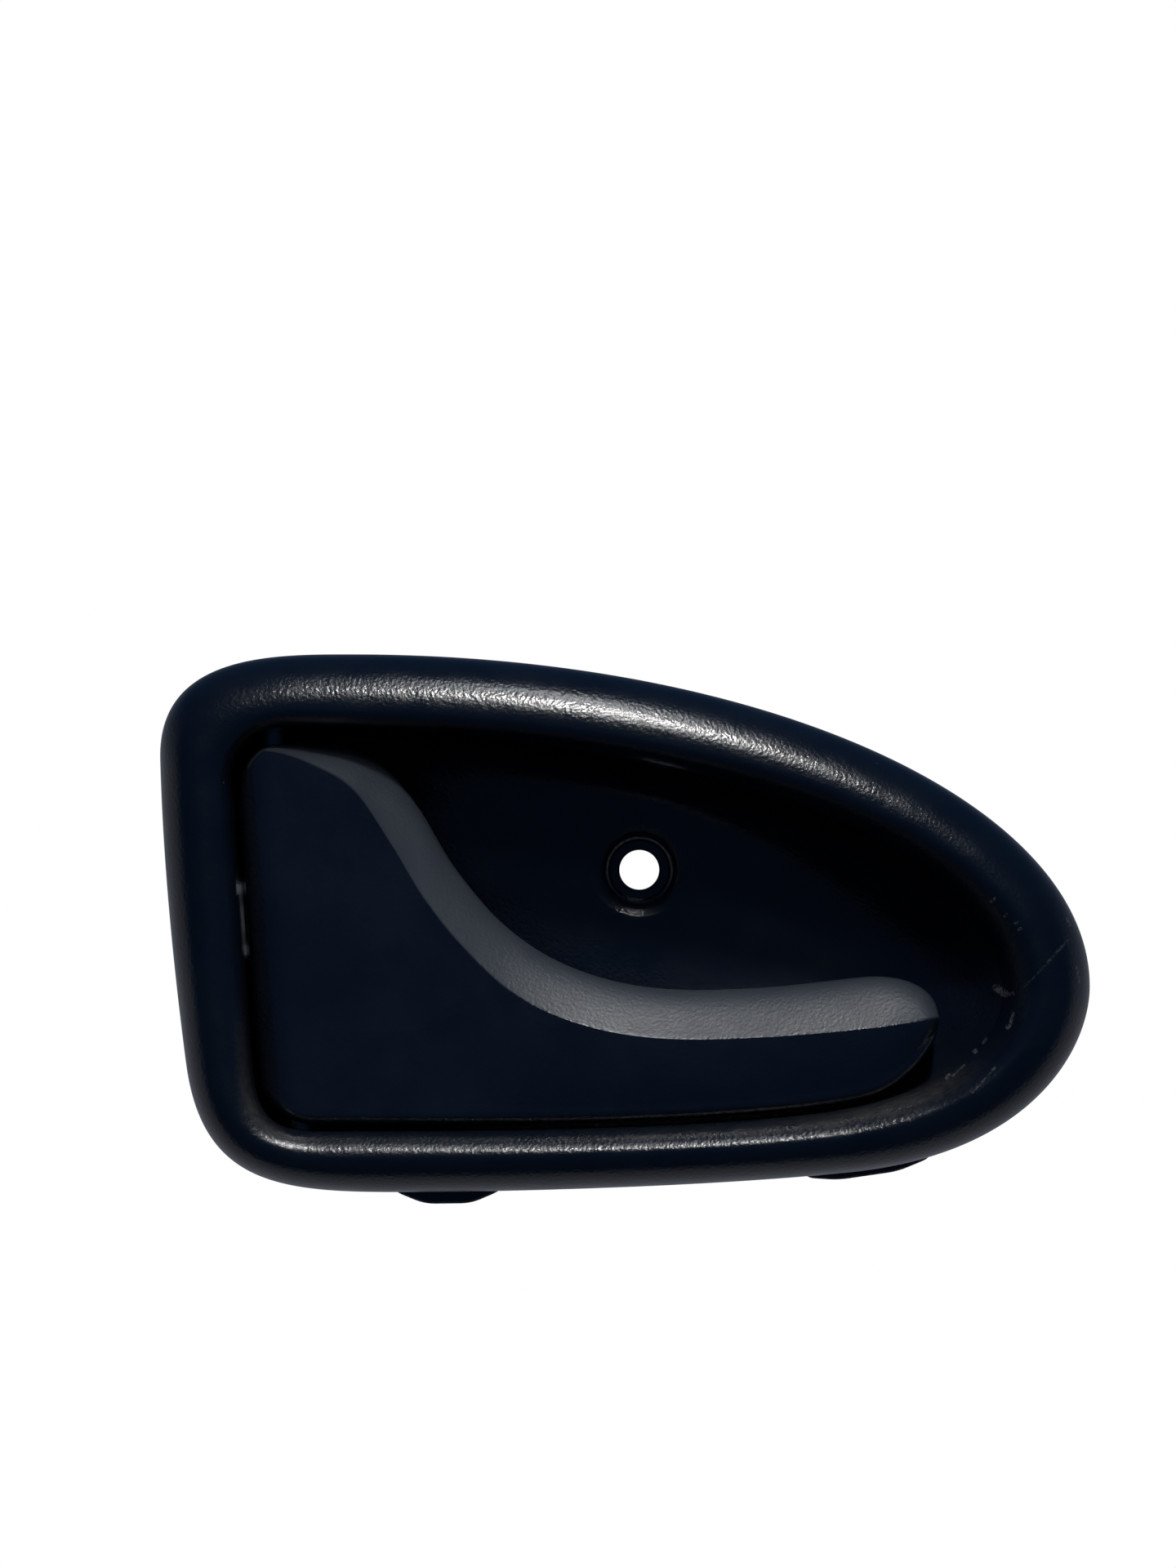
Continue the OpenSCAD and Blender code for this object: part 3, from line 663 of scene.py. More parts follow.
@dataclass(frozen=True)
class Metal:
    """Bare or plated steel, with drawn or ground marks."""

    name: str
    colour: Triple
    roughness: float
    mark_mm: float
    stretch: Triple

    def build(self) -> bpy.types.Material:
        """Makes the material.

        Returns:
            The material.
        """
        g = Graph(self.name)
        marks = g.noise(self.mark_mm, 4.0, 0.6, self.stretch)
        stain = g.ramp(g.noise(1.6, 4.0, 0.6), 0.35, 0.75)
        darker = tuple(0.55 * c for c in self.colour)
        g.set(Base_Color=g.mix(stain, (*self.colour, 1), (*darker, 1)), Metallic=1.0)
        g.set(Roughness=g.ramp(marks, 0.3, 0.7, self.roughness, self.roughness + 0.15))
        g.set(Normal=g.bump(marks, 0.004))
        return g.material


@dataclass(frozen=True)
class Moulded:
    """A plain moulded piece of rubber or nylon."""

    name: str
    colour: Triple
    roughness: float
    grain_mm: float
    grain_depth: float
    subsurface: float = 0.0

    def build(self) -> bpy.types.Material:
        """Makes the material.

        Returns:
            The material.
        """
        g = Graph(self.name)
        cloudy = g.ramp(g.noise(2.5, 3.0, 0.6), 0.3, 0.7)
        darker = tuple(0.78 * c for c in self.colour)
        g.set(Base_Color=g.mix(cloudy, (*self.colour, 1), (*darker, 1)))
        g.set(Roughness=g.ramp(cloudy, 0.0, 1.0, self.roughness, self.roughness + 0.08))
        g.set(Normal=g.bump(g.noise(self.grain_mm), self.grain_depth))
        g.shader.inputs["Subsurface Weight"].default_value = self.subsurface
        g.shader.inputs["Subsurface Scale"].default_value = MM
        return g.material


def finish(
    obj: bpy.types.Object, material: bpy.types.Material, body: Body, slot: Slot, *nodes: str
) -> None:
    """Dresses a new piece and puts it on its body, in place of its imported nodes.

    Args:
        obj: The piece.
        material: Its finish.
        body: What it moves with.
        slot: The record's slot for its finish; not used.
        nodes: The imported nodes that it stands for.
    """
    obj.data.materials.clear()
    obj.data.materials.append(material)
    smooth(obj)
    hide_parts(*nodes)
    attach(obj, body.value)
    LOG.info("%s: %d faces on %s", obj.name, len(obj.data.polygons), body.value)


@dataclass
class Bezel:
    """The one-piece moulding: rim, bowl, screw boss, hinge bosses, ribs, tongues and the seat
    for the cable's sheath."""

    body_len: float = 140.0
    body_h: float = 81.0
    nose_h: float = 31.0
    screw_x: float = 72.3
    screw_z: float = 48.3
    rim_h: float = 10.0
    rim_left: float = 10.7
    rim_top: float = 10.9
    rim_bottom: float = 9.3
    rim_nose: float = 13.0
    lip_d: float = 5.0
    nose_lip_d: float = 8.0
    bowl_d: float = 26.0
    boss_d: float = 34.0
    wall: float = 2.2
    lean: float = 4.2
    draft: float = 0.3
    floor_r: float = 8.0
    screw_r: float = 3.05
    funnel_r: float = 7.1
    seat_r: float = 4.4
    funnel_slope: float = 0.42
    screw_len: float = 4.5
    hinge_d: float = 9.0
    pin_r: float = 2.0
    barrel_r: float = 4.4
    hinge_boss_len: float = 4.0
    low_boss_len: float = 1.5
    lever_gap: float = 0.9
    roll_r: float = 5.8
    open_angle: float = 30.0
    arm_len: float = 21.5
    arm_w: float = 7.0
    arm_h: float = 8.0
    arm_v: float = -7.0
    back_root_d: float = 14.0
    window_clear: float = 1.5
    sheath_r: float = 3.0
    bracket_t: float = 2.5
    bracket_gap: float = 9.0
    buffer_u: float = 20.0
    buffer_r: float = 3.0
    buffer_h: float = 2.0
    stem_r: float = 1.4
    stem_len: float = 2.5
    face_clear: float = 0.15
    seat_clear: float = 0.02
    panel_t: float = 3.0
    panel_play: float = 0.5
    tongue_t: float = 2.5
    rib_t: float = 1.4
    rib_stations: tuple[float, ...] = (0.5, 1.15, 1.85, 2.2, 2.42, 2.6, 2.78, 3.5, 4.15, 4.6, 4.9, 5.75)
    crest_share: tuple[float, ...] = (0.56, 0.58, 0.76, 0.6, 0.6, 0.6)
    lip_power: tuple[float, ...] = (2.0, 2.0, 2.0, 1.35, 1.7, 2.0)
    bowl_power: tuple[float, ...] = (3.4, 3.2, 2.5, 1.5, 2.2, 3.2)
    flow: tuple[float, ...] = (0.0, 0.0, 0.1, 1.0, 0.45, 0.0)
    flow_lip_d: float = 6.4
    station_counts: tuple[int, ...] = (36, 60, 110, 80, 80, 70)
    mouth_top_r: float = 9.0
    mouth_low_r: float = 10.3
    web_half: float = 0.99
    slot_share: float = 0.7
    flow_roll_power: float = 1.7
    flow_bowl_power: float = 3.4
    tongue_sizes: tuple[tuple[float, ...], ...] = (
        (4.69, 16.8, 7.0, 0.0, 2.0),
        (3.825, 19.5, 9.0, 0.4, 1.2),
    )
    dust_stations: tuple[float, ...] = (3.35, 3.6, 3.75, 4.1, 4.6, 5.2, 5.6, 6.0, 6.25)
    dust_amounts: tuple[float, ...] = (0, 0.7, 0.85, 0.3, 0.1, 0.3, 1.0, 0.5, 0)
    dust_depth: float = 12.0
    dust_reach: float = 6.0
    rim_steps: int = 20
    roll_steps: int = 16
    wall_steps: int = 4
    bowl_steps: int = 36
    bowl_spread: float = 2.5

    @property
    def lip_depth(self) -> tuple[float, ...]:
        """Depth at which the roll meets the wall, at the six anchors."""
        return (self.lip_d, self.lip_d, self.lip_d, self.nose_lip_d, self.lip_d + 1, self.lip_d)

    @property
    def wall_depth(self) -> tuple[float, ...]:
        """Depth at which the wall meets the bowl, at the six anchors."""
        return (19.0, 18.0, 15.0, self.nose_lip_d + 0.6, 11.0, 16.0)

    @cached_property
    def outer(self) -> EdgeLoop:
        """The outer edge, clockwise from the foot of the straight side.

        Returns:
            The edge, with six anchors.
        """
        long, height = self.body_len, self.body_h
        anchors = (
            (3.9, 19.4, 97.5, 18.6, 15.0),
            (0.0, height - 15.8, 91.5, 15.0, 16.1),
            (29.0, height, 0.0, 11.7, 0.56 * (long - 29.0)),
            (long, self.nose_h, -90.0, 27.5, 8.8),
            (long - 36.0, 3.0, 185.9, 28.2, 22.0),
            (36.0, 0.0, 180.0, 15.0, 17.8),
        )
        return EdgeLoop(anchors, (self.screw_x, self.screw_z))

    @cached_property
    def mouth(self) -> EdgeLoop:
        """The mouth's edge, from the same corners and the rim's widths.

        Returns:
            The edge, with six anchors.
        """
        corner_top, corner_low = self.mouth_top_r, self.mouth_low_r
        side_top = self.body_h - self.rim_top - corner_top
        side_low = self.rim_bottom + corner_low
        low_x = self.rim_left + (side_top - side_low) * math.tan(math.radians(self.lean))
        reach = self.body_len - self.rim_nose - self.rim_left - corner_top
        anchors = (
            (low_x, side_low, 90 + self.lean, 8.0, 15.0),
            (self.rim_left, side_top, 90 + self.lean, 15.0, 5.2),
            (self.rim_left + corner_top, self.body_h - self.rim_top, 0.0, 5.2, 0.52 * reach),
            (self.body_len - self.rim_nose, self.nose_h - 1, -90.0, 24.0, 9.0),
            (self.body_len - 42.0, self.rim_bottom + 2.7, 187.0, 18.0, 22.0),
            (low_x + corner_low, self.rim_bottom, 180.0, 15.0, 7.5),
        )
        return EdgeLoop(anchors, (self.screw_x, self.screw_z))

    @cached_property
    def plain(self) -> Place:
        """The handle's own frame."""
        return Place(0.0, 0.0, self.boss_d)

    @cached_property
    def hinge(self) -> Place:
        """The hinge's frame, beside the mouth's straight side.

        Returns:
            The frame, which leans as the side does.
        """
        side_top = self.body_h - self.rim_top - self.mouth_top_r
        side = self.rim_left + (side_top - self.screw_z) * math.tan(math.radians(self.lean))
        gap = (self.lever_gap + self.roll_r) / math.cos(math.radians(self.lean))
        return Place(side - self.screw_x + gap, self.lean, self.boss_d)

    def mouth_line(self, first: float, last: float) -> Array:
        """A stretch of the mouth's edge in the hinge's frame, in the order of u."""
        line = self.hinge.flat(self.mouth.at(np.linspace(first, last, 400)))
        return line[np.argsort(line[:, 0])]

    @cached_property
    def mouth_top_v(self) -> float:
        """Height of the mouth's top edge on the hinge's axis."""
        return float(np.interp(0.0, *self.mouth_line(*MOUTH_TOP).T))

    @cached_property
    def mouth_low_v(self) -> float:
        """Height of the mouth's bottom edge on the hinge's axis."""
        return float(np.interp(0.0, *self.mouth_line(*MOUTH_BOTTOM).T))

    @property
    def sheath_d(self) -> float:
        """Depth of the seat for the cable's sheath, in the middle of the arm's swing."""
        return self.hinge_d + self.arm_len * (1 + math.cos(math.radians(self.open_angle))) / 2

    @property
    def buffer_v(self) -> float:
        """Height of the buffer's axis."""
        low = float(np.interp(self.buffer_u, *self.mouth_line(*MOUTH_BOTTOM).T))
        return low + self.lever_gap + self.buffer_r + self.face_clear

    def stations(self) -> Array:
        """Stations round the edge, with more of them where it bends."""
        return np.concatenate([i + np.arange(n) / n for i, n in enumerate(self.station_counts)])

    @staticmethod
    def around(values: tuple[float, ...], t: Array) -> Array:
        """A value eased from anchor to anchor.

        Args:
            values: The value at each of the six anchors.
            t: Stations.
        Returns:
            Values (n, 1).
        """
        table = np.array(values)
        i = np.floor(t).astype(int) % 6
        a, b = table[i], table[(i + 1) % 6]
        return (a + (b - a) * ease(t - np.floor(t)))[:, None]

    def front(self, t: Array, end_r: float) -> Array:
        """The front line of the section at each station, from the outer edge to a radius.

        The rim is a quarter ellipse, its inner roll a quarter superellipse, then come the wall
        with its draft and the bowl, a second superellipse down to the floor. Round the nose the
        roll and the bowl flow into each other: x^p for the roll and 1 - (1 - y)^q for the bowl,
        with p flow_roll_power and q flow_bowl_power, mixed in by the station's share.

        Args:
            t: Stations.
            end_r: Distance from the screw's axis at which the line ends.
        Returns:
            Points (n, m, 2) as (way inwards, depth).
        """
        o, m = self.outer.at(t), self.mouth.at(t)
        width = length(m - o)
        crest = width * self.around(self.crest_share, t)
        lip, deep, flow = (self.around(v, t) for v in (self.lip_depth, self.wall_depth, self.flow))
        lip, deep = (depth + flow * (self.flow_lip_d - self.nose_lip_d) for depth in (lip, deep))
        bend, curl = self.around(self.lip_power, t), self.around(self.bowl_power, t)
        reach = length(m) - self.floor_r - self.draft
        a = np.linspace(0, np.pi / 2, self.rim_steps)[None, :]
        x = np.sin(np.linspace(0, np.pi / 2, self.roll_steps + 1))[None, 1:]
        s = np.linspace(0, 1, self.wall_steps + 1)[None, 1:]
        y = np.linspace(0, 1, self.bowl_steps + 1)[None, 1:] ** self.bowl_spread
        y = y * (1 - (end_r - self.floor_r) / reach)
        curled = (1 - flow) * roll(x, bend) + flow * x**self.flow_roll_power
        sunk = (1 - flow) * rise(y, curl) + flow * (1 - np.clip(1 - y, 0, 1) ** self.flow_bowl_power)
        zones = (
            (crest * (1 - np.cos(a)), self.rim_h * (1 - np.sin(a)) + 0 * crest),
            (crest + (width - crest) * x, lip * curled),
            (width + self.draft * s, lip + (deep - lip) * s),
            (width + self.draft + reach * y, deep + (self.bowl_d - deep) * sunk),
        )
        return np.concatenate([np.stack(zone, -1) for zone in zones], axis=1)

    def behind(self, line: Array) -> Array:
        """The line set back by the wall, square to itself.

        Args:
            line: Points (n, m, 2).
        Returns:
            Points (n, m, 2).
        """
        way = np.gradient(line, axis=1)
        way[:, 0], way[:, -1] = (0, -1), (1, 0)
        way /= length(way)
        return line + self.wall * np.stack([-way[..., 1], way[..., 0]], -1)

    def in_space(self, t: Array, line: Array) -> Array:
        """Places a section: along the rim to the mouth's edge, and from there towards the
        screw's axis.

        Args:
            t: Stations.
            line: Points (n, m, 2) as (way inwards, depth).
        Returns:
            Points (n, m, 3) as (X, Z, depth).
        """
        o, m = self.outer.at(t)[:, None], self.mouth.at(t)[:, None]
        width = length(m - o)
        way, depth = line[..., :1], line[..., 1:]
        over = m / length(m) * np.maximum(way - width, 0)
        flat = o + (m - o) * np.minimum(way, width) / width - over
        return np.concatenate([flat, depth], -1)

    def hub(self, t: Array) -> Array:
        """The funnel, the screw's seat, its hole and the boss, as rings round the screw's axis.

        The funnel's depth is a x + b x^5, with x from its mouth to the seat: a shallow cone that
        grows steep at the seat.

        Args:
            t: Stations.
        Returns:
            Points (n, m, 3) as (X, Z, depth).
        """
        seat_d = self.boss_d - self.screw_len
        boss_r = self.funnel_r + self.wall
        back_d = self.bowl_d + self.wall
        lip, fall = self.funnel_r - self.seat_r, seat_d - self.bowl_d
        cone = self.funnel_slope * lip
        shares = np.linspace(0, 1, 15)[:-1]
        bend = [(self.funnel_r - lip * x, self.bowl_d + cone * x + (fall - cone) * x**5) for x in shares]
        rings = np.array([
            (self.funnel_r + 0.5, self.bowl_d), *bend, (self.seat_r, seat_d),
            (self.screw_r + 0.2, seat_d), (self.screw_r, seat_d + 0.2),
            (self.screw_r, self.boss_d - 0.3), (self.screw_r + 0.3, self.boss_d),
            (boss_r - 0.5, self.boss_d), (boss_r, self.boss_d - 0.5),
            (boss_r, back_d + 1.2), (boss_r + 0.35, back_d + 0.35), (boss_r + 1.2, back_d),
        ])
        m = self.mouth.at(t)[:, None]
        flat = m / length(m) * rings[None, :, :1]
        return np.concatenate([flat, np.broadcast_to(rings[None, :, 1:], flat.shape[:2] + (1,))], -1)

    def shell(self) -> Form:
        """The rim, the bowl and the screw boss as one skin closed on itself.

        Returns:
            The closed form.
        """
        t = self.stations()
        front = self.in_space(t, self.front(t, self.floor_r))
        back = self.in_space(t, self.behind(self.front(t, self.funnel_r + self.wall + 1.3)))
        loop = np.concatenate([front, self.hub(t), back[:, ::-1]], axis=1)
        return skin(self.plain.point(loop), ring=True)

    def bosses(self) -> Form:
        """The two hinge bosses behind the rim.

        Returns:
            Both rods as one form.
        """
        top, low = self.mouth_top_v + self.wall, self.mouth_low_v - self.wall
        upper = rod(self.barrel_r, top - self.wall / 2, top + self.hinge_boss_len)
        lower = rod(self.barrel_r, low - self.low_boss_len, low + self.wall / 2)
        at = (0.0, 0.0, self.hinge_d)
        upper, lower = (turned(self.hinge, at, Along.HINGE, profile) for profile in (upper, lower))
        return upper.plus(lower)

    def rib(self, t: float) -> Form:
        """A rib between the rim's outer wall and the mouth's wall.

        Args:
            t: Its station.
        Returns:
            The closed form.
        """
        at = np.array([t])
        o, m = self.outer.at(at)[0], self.mouth.at(at)[0]
        way = (m - o) / np.linalg.norm(m - o)
        across = np.array([-way[1], way[0]])
        line = self.front(at, self.floor_r)
        line = (line + (self.behind(line) - line) / 2)[0, : self.rim_steps + self.roll_steps : 3]
        foot = self.rim_h - 1
        low = line[line[:, 1] < foot]
        outline = np.vstack([[self.wall / 2, foot], low, [line[-1, 0], foot]])

        def put(p: Array) -> Array:
            """Turns (way inwards, depth, way across) into metres."""
            flat = o + p[..., :1] * way + p[..., 2:] * across
            return self.plain.point(np.concatenate([flat, p[..., 1:2]], -1))

        return plate(outline, -self.rib_t / 2, self.rib_t / 2, 0.15, put)

    def tongue(self, t: float, foot: float, tip: float, side_out: float, tip_out: float) -> Form:
        """A tongue that stands out from the mouth's wall at a station, behind the trim panel.

        Args:
            t: Its station.
            foot: Its width at the wall.
            tip: Its width at the tip.
            side_out: How far its sides stand out from the rim's edge.
            tip_out: How far its tip stands out from it.
        Returns:
            The closed form.
        """
        m = self.mouth.at(np.array([t]))[0]
        stations = np.linspace(5.6, 3.2, 200)
        inner, outer = self.mouth.at(stations), self.outer.at(stations)
        x = np.array([-foot / 2, 0, foot / 2, foot / 2, tip / 2, -tip / 2, -foot / 2])
        start = m[1] - np.interp(m[0] + x, *inner.T) + self.wall / 2
        end = m[1] - np.interp(m[0] + x, *outer.T)
        out = np.array([0, 0, 0, side_out, tip_out, tip_out, side_out])
        y = np.where(np.arange(7) < 3, start, end + out)
        low = self.rim_h + self.panel_t + self.panel_play

        def put(p: Array) -> Array:
            """Turns (way along, way down, depth) into metres."""
            flat = np.stack([m[0] + p[..., 0], m[1] - p[..., 1], p[..., 2]], -1)
            return self.plain.point(flat)

        return plate(rounded(np.stack([x, y], -1), 1.6), low, low + self.tongue_t, 0.3, put)

    def bracket(self) -> list[Form]:
        """The sheath's seat: an upright plate with an open round notch, on two webs.

        Returns:
            The plate and the webs.
        """
        right = -self.roll_r - self.lever_gap - self.bracket_gap / 2
        top_d = self.lip_d + self.wall + 5
        low_d = self.sheath_d + self.sheath_r
        half, slot = self.arm_h / 2 + 2, self.slot_share * self.sheath_r
        turn = math.asin(self.slot_share)
        a = np.linspace(np.pi - turn, -np.pi + turn, 40)
        notch = np.stack([self.sheath_r * np.sin(a), self.sheath_d - self.sheath_r * np.cos(a)], -1)
        right_half = [(slot, low_d), (half, low_d), (half, top_d)]
        corners = right_half + [(-v, d) for v, d in reversed(right_half)]
        body = rounded(corners, 0.8)
        outline = np.vstack([body, notch[::-1]])

        def across(p: Array) -> Array:
            """Turns (v, depth, u) into metres."""
            return self.hinge.point(np.stack([p[..., 2], p[..., 0] + self.arm_v, p[..., 1]], -1))

        forms = [plate(outline, right - self.bracket_t, right, 0.25, across)]
        reach = self.bracket_gap / 2 + self.bracket_t / 2 - self.wall / 2
        start = right - self.bracket_t / 2
        end_d = top_d + (self.sheath_d - top_d) / 2
        box = [(start, top_d), (start + reach, top_d), (start + reach, end_d), (start, end_d)]
        for side in (-1, 1):
            middle = self.arm_v + side * (half - 1)

            def upright(p: Array, middle: float = middle) -> Array:
                """Turns (u, depth, v) into metres."""
                return self.hinge.point(np.stack([p[..., 0], middle + p[..., 2], p[..., 1]], -1))

            forms.append(plate(rounded(box, 0.3), -self.web_half, self.web_half, 0.15, upright))
        return forms

    def window(self) -> Form:
        """The opening behind the lever that the arm swings in.

        Returns:
            The form that is cut out.
        """
        left = -self.arm_w / 2 - self.window_clear
        low = self.arm_v - self.arm_h / 2 - self.window_clear
        high = self.arm_v + self.arm_h / 2 + self.window_clear
        angle = math.radians(self.open_angle)
        swing = (self.bowl_d + self.wall - self.hinge_d) * math.tan(angle)
        right = swing + self.arm_w / 2 / math.cos(angle) + self.window_clear / 2
        outline = rounded([(left, low), (right, low), (right, high), (left, high)], 0.8)
        start = self.back_root_d
        return plate(outline, start, start + self.boss_d, CUT_EDGE, self.hinge.point)

    def back_depth(self, u: Array, lever_len: float) -> Array:
        """Depth of the lever's back edge, from the hinge to half its length."""
        return self.back_root_d - 4.0 * ease(np.clip(np.asarray(u) / (lever_len / 2), 0, 1))

    def buffer_top(self, lever_len: float) -> float:
        """Depth of the buffer's face, just behind the lever's back edge."""
        return float(self.back_depth(self.buffer_u - self.buffer_r, lever_len)) + self.face_clear

    def dust(self, points: Array) -> Array:
        """Dust that settled on the roll under the lever and in the mouth's lower corners.

        Args:
            points: Mesh points (n, 3) in millimetres.
        Returns:
            Values from 0 to 1.
        """
        t = np.linspace(self.dust_stations[0], self.dust_stations[-1], 500)
        line = self.mouth.at(t % 6)
        gap = np.empty(len(points))
        near = np.empty(len(points), int)
        for part in np.array_split(np.arange(len(points)), 40):
            d = np.linalg.norm(points[part][:, None, [0, 2]] - line[None], axis=2)
            gap[part], near[part] = d.min(1), d.argmin(1)
        m, o = line[near], self.outer.at(t % 6)[near]
        way = np.einsum("ij,ij->i", points[:, [0, 2]] - m, (o - m) / length(o - m))
        band = np.exp(-(((way - 0.9) / 1.0) ** 2))
        depth = points[:, 1] + self.boss_d
        strength = np.interp(t, self.dust_stations, self.dust_amounts)
        return band * strength[near] * (depth < self.dust_depth) * (gap < self.dust_reach)

    def build(self, material: bpy.types.Material, lever_len: float) -> bpy.types.Object:
        """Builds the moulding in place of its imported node.

        Args:
            material: Its finish.
            lever_len: The lever's length, which places the buffer's pad.
        Returns:
            The piece.
        """
        obj = self.shell().solid("bezel_moulding")
        ribs = self.rib(self.rib_stations[0])
        for t in self.rib_stations[1:]:
            ribs = ribs.plus(self.rib(t))
        first, second = (self.tongue(*sizes) for sizes in self.tongue_sizes)
        pad_d = self.buffer_top(lever_len) + self.buffer_h
        at = (self.buffer_u, self.buffer_v, 0.0)
        pad = rod(self.buffer_r + 0.5, pad_d, self.bowl_d - self.wall, 0.2)
        socket = rod(self.stem_r + self.seat_clear, pad_d - 1, pad_d + self.stem_len + 0.3, CUT_EDGE)
        pad, socket = (turned(self.hinge, at, Along.DEPTH, profile) for profile in (pad, socket))
        added = [self.bosses(), ribs, first.plus(second), pad, *self.bracket()]
        cut = [self.window(), socket]
        shaped(obj, [f.solid("added") for f in added], [f.solid("cut") for f in cut])
        put_value(obj, "dust", self.dust(corners_of(obj)))
        finish(obj, material, Body.BEZEL, Slot.BEZEL, "bezel")
        return obj


@dataclass
class Lever:
    """The pull lever: a hollow S-shaped moulding with barrels on the pin and a forked arm."""

    bezel: Bezel
    top_gap: float = 1.9
    lever_wall: float = 1.8
    tip_inset: float = 22.9
    tip_drop: float = 4.4
    grip_h: float = 18.6
    ridge_d: float = 1.2
    face_low_d: float = 3.0
    back_tip_d: float = 10.0
    tip_len: float = 12.0
    tip_fall: float = 0.15
    tip_round: float = 3.0
    low_corner_r: float = 9.0
    top_corner_r: float = 6.5
    low_round: float = 2.0
    low_share: float = 0.24
    roll_power: float = 2.0
    corner_ease: float = 5.0
    band_slope: float = 0.56
    band_edge: float = 4.0
    grip_share: float = 0.72
    hinge_wall: float = 1.8
    hinge_side_share: float = 0.4
    ridge_share: float = 0.4
    edge_share: float = 0.1
    barrel_len: float = 9.0
    pin_clear: float = 0.06
    swivel_r: float = 2.3
    top_nodes: tuple[Pair, ...] = (
        (-0.06, 0.995), (0, 1), (0.062, 0.988), (0.124, 0.95), (0.175, 0.868), (0.217, 0.733),
        (0.268, 0.505), (0.34, 0.285), (0.433, 0.127), (0.557, 0.03), (0.72, 0), (0.907, 0.012), (1, 0.012),
    )
    ridge_nodes: tuple[Pair, ...] = (
        (-0.06, 0.96), (0, 0.96), (0.062, 0.903), (0.124, 0.80), (0.175, 0.60), (0.217, 0.41),
        (0.268, 0.238), (0.34, 0.059), (0.433, -0.066), (0.557, -0.144), (0.72, -0.17), (0.907, -0.165),
        (1, -0.15),
    )

    @cached_property
    def length(self) -> float:
        """Length from the hinge's axis to the tip, across the hinge.

        Returns:
            The length in millimetres.
        """
        b, lean = self.bezel, math.radians(self.bezel.lean)
        tip_z = b.nose_h - self.tip_drop - b.screw_z
        tip_x = b.body_len - self.tip_inset - b.screw_x - b.hinge.x
        return tip_x * math.cos(lean) + tip_z * math.sin(lean)

    @cached_property
    def low_line(self) -> Array:
        """The mouth's bottom edge in the hinge's frame, sampled evenly in the station."""
        return self.bezel.mouth_line(*MOUTH_BOTTOM)

    @cached_property
    def root_v(self) -> float:
        """Height of the top edge at the hinge."""
        return self.bezel.mouth_top_v - self.top_gap

    @cached_property
    def grip_v(self) -> float:
        """Height of the grip's top edge."""
        low = float(np.interp(self.length * self.grip_share, *self.low_line.T))
        return low + self.bezel.lever_gap + self.grip_h

    @cached_property
    def tip_v(self) -> float:
        """Height of the tip."""
        return self.grip_v - (self.root_v - self.grip_v) * self.tip_fall

    def s_curve(self, nodes: tuple[Pair, ...], u: Array) -> Array:
        """A smooth S through nodes, by cubic Hermite spans whose slopes come from each node's
        neighbours.

        Args:
            nodes: (share of the length, share of the rise) pairs.
            u: Distances from the hinge's axis.
        Returns:
            Heights v.
        """
        xs, ys = np.array(nodes).T
        last = len(xs) - 1
        order = np.arange(last + 1)
        before, after = np.maximum(order - 1, 0), np.minimum(order + 1, last)
        slopes = (ys[after] - ys[before]) / (xs[after] - xs[before])
        x = u / self.length
        i = np.clip(np.searchsorted(xs, x, "right") - 1, 0, last - 1)
        w = xs[i + 1] - xs[i]
        t = (x - xs[i]) / w
        share = (2 * t**3 - 3 * t**2 + 1) * ys[i] + (t**3 - 2 * t**2 + t) * w * slopes[i]
        share = share + (3 * t**2 - 2 * t**3) * ys[i + 1] + (t**3 - t**2) * w * slopes[i + 1]
        return self.grip_v + (self.root_v - self.grip_v) * share

    def corner(self, u: Array, r: float) -> Array:
        """Drop of a rounded corner of radius r at the hinge's end."""
        return r * roll((r - u - self.bezel.roll_r) / r, 2.0)

    def to_tip(self, v: Array, u: Array, power: float) -> Array:
        """A line that closes onto the tip along a superellipse."""
        x = np.clip((u - self.length + self.tip_len) / self.tip_len, 0, 1)
        return self.tip_v + (v - self.tip_v) * (1 - x**power) ** (1 / power)

    def top_v(self, u: Array) -> Array:
        """Height of the top edge."""
        return self.to_tip(self.s_curve(self.top_nodes, u) - self.corner(u, self.top_corner_r), u, 2.4)

    def low_v(self, u: Array) -> Array:
        """Height of the bottom edge, which follows the mouth's edge.

        Args:
            u: Distances from the hinge's axis.
        Returns:
            Heights v.
        """
        start = self.low_corner_r - self.bezel.roll_r
        line = np.interp(np.maximum(u, start), *self.low_line.T) + self.bezel.lever_gap
        return self.to_tip(line + self.corner(u, self.low_corner_r), u, 2.0)

    def ridge_v(self, u: Array) -> Array:
        """Height of the ridge between the face and the band, lower where the front rolls back.

        Args:
            u: Distances from the hinge's axis.
        Returns:
            Heights v.
        """
        under = 1.2 + self.corner_ease * roll(np.clip(-u / self.bezel.roll_r, 0, 1), 2.0)
        line = np.minimum(self.s_curve(self.ridge_nodes, u), self.top_v(u) - under)
        return self.to_tip(line, u, 2.0)

    def front_depth(self, u: Array) -> Array:
        """Depth of the front at the ridge. It rolls back at the hinge and at the tip.

        Args:
            u: Distances from the hinge's axis.
        Returns:
            Depths.
        """
        left = np.clip(-u / self.bezel.roll_r, 0, 1)
        right = np.clip((u - self.length + self.tip_round) / self.tip_round, 0, 1)
        fall = (self.bezel.hinge_d - self.ridge_d) * roll(left, self.roll_power)
        return self.ridge_d + fall + self.tip_round * roll(right, 2.0)

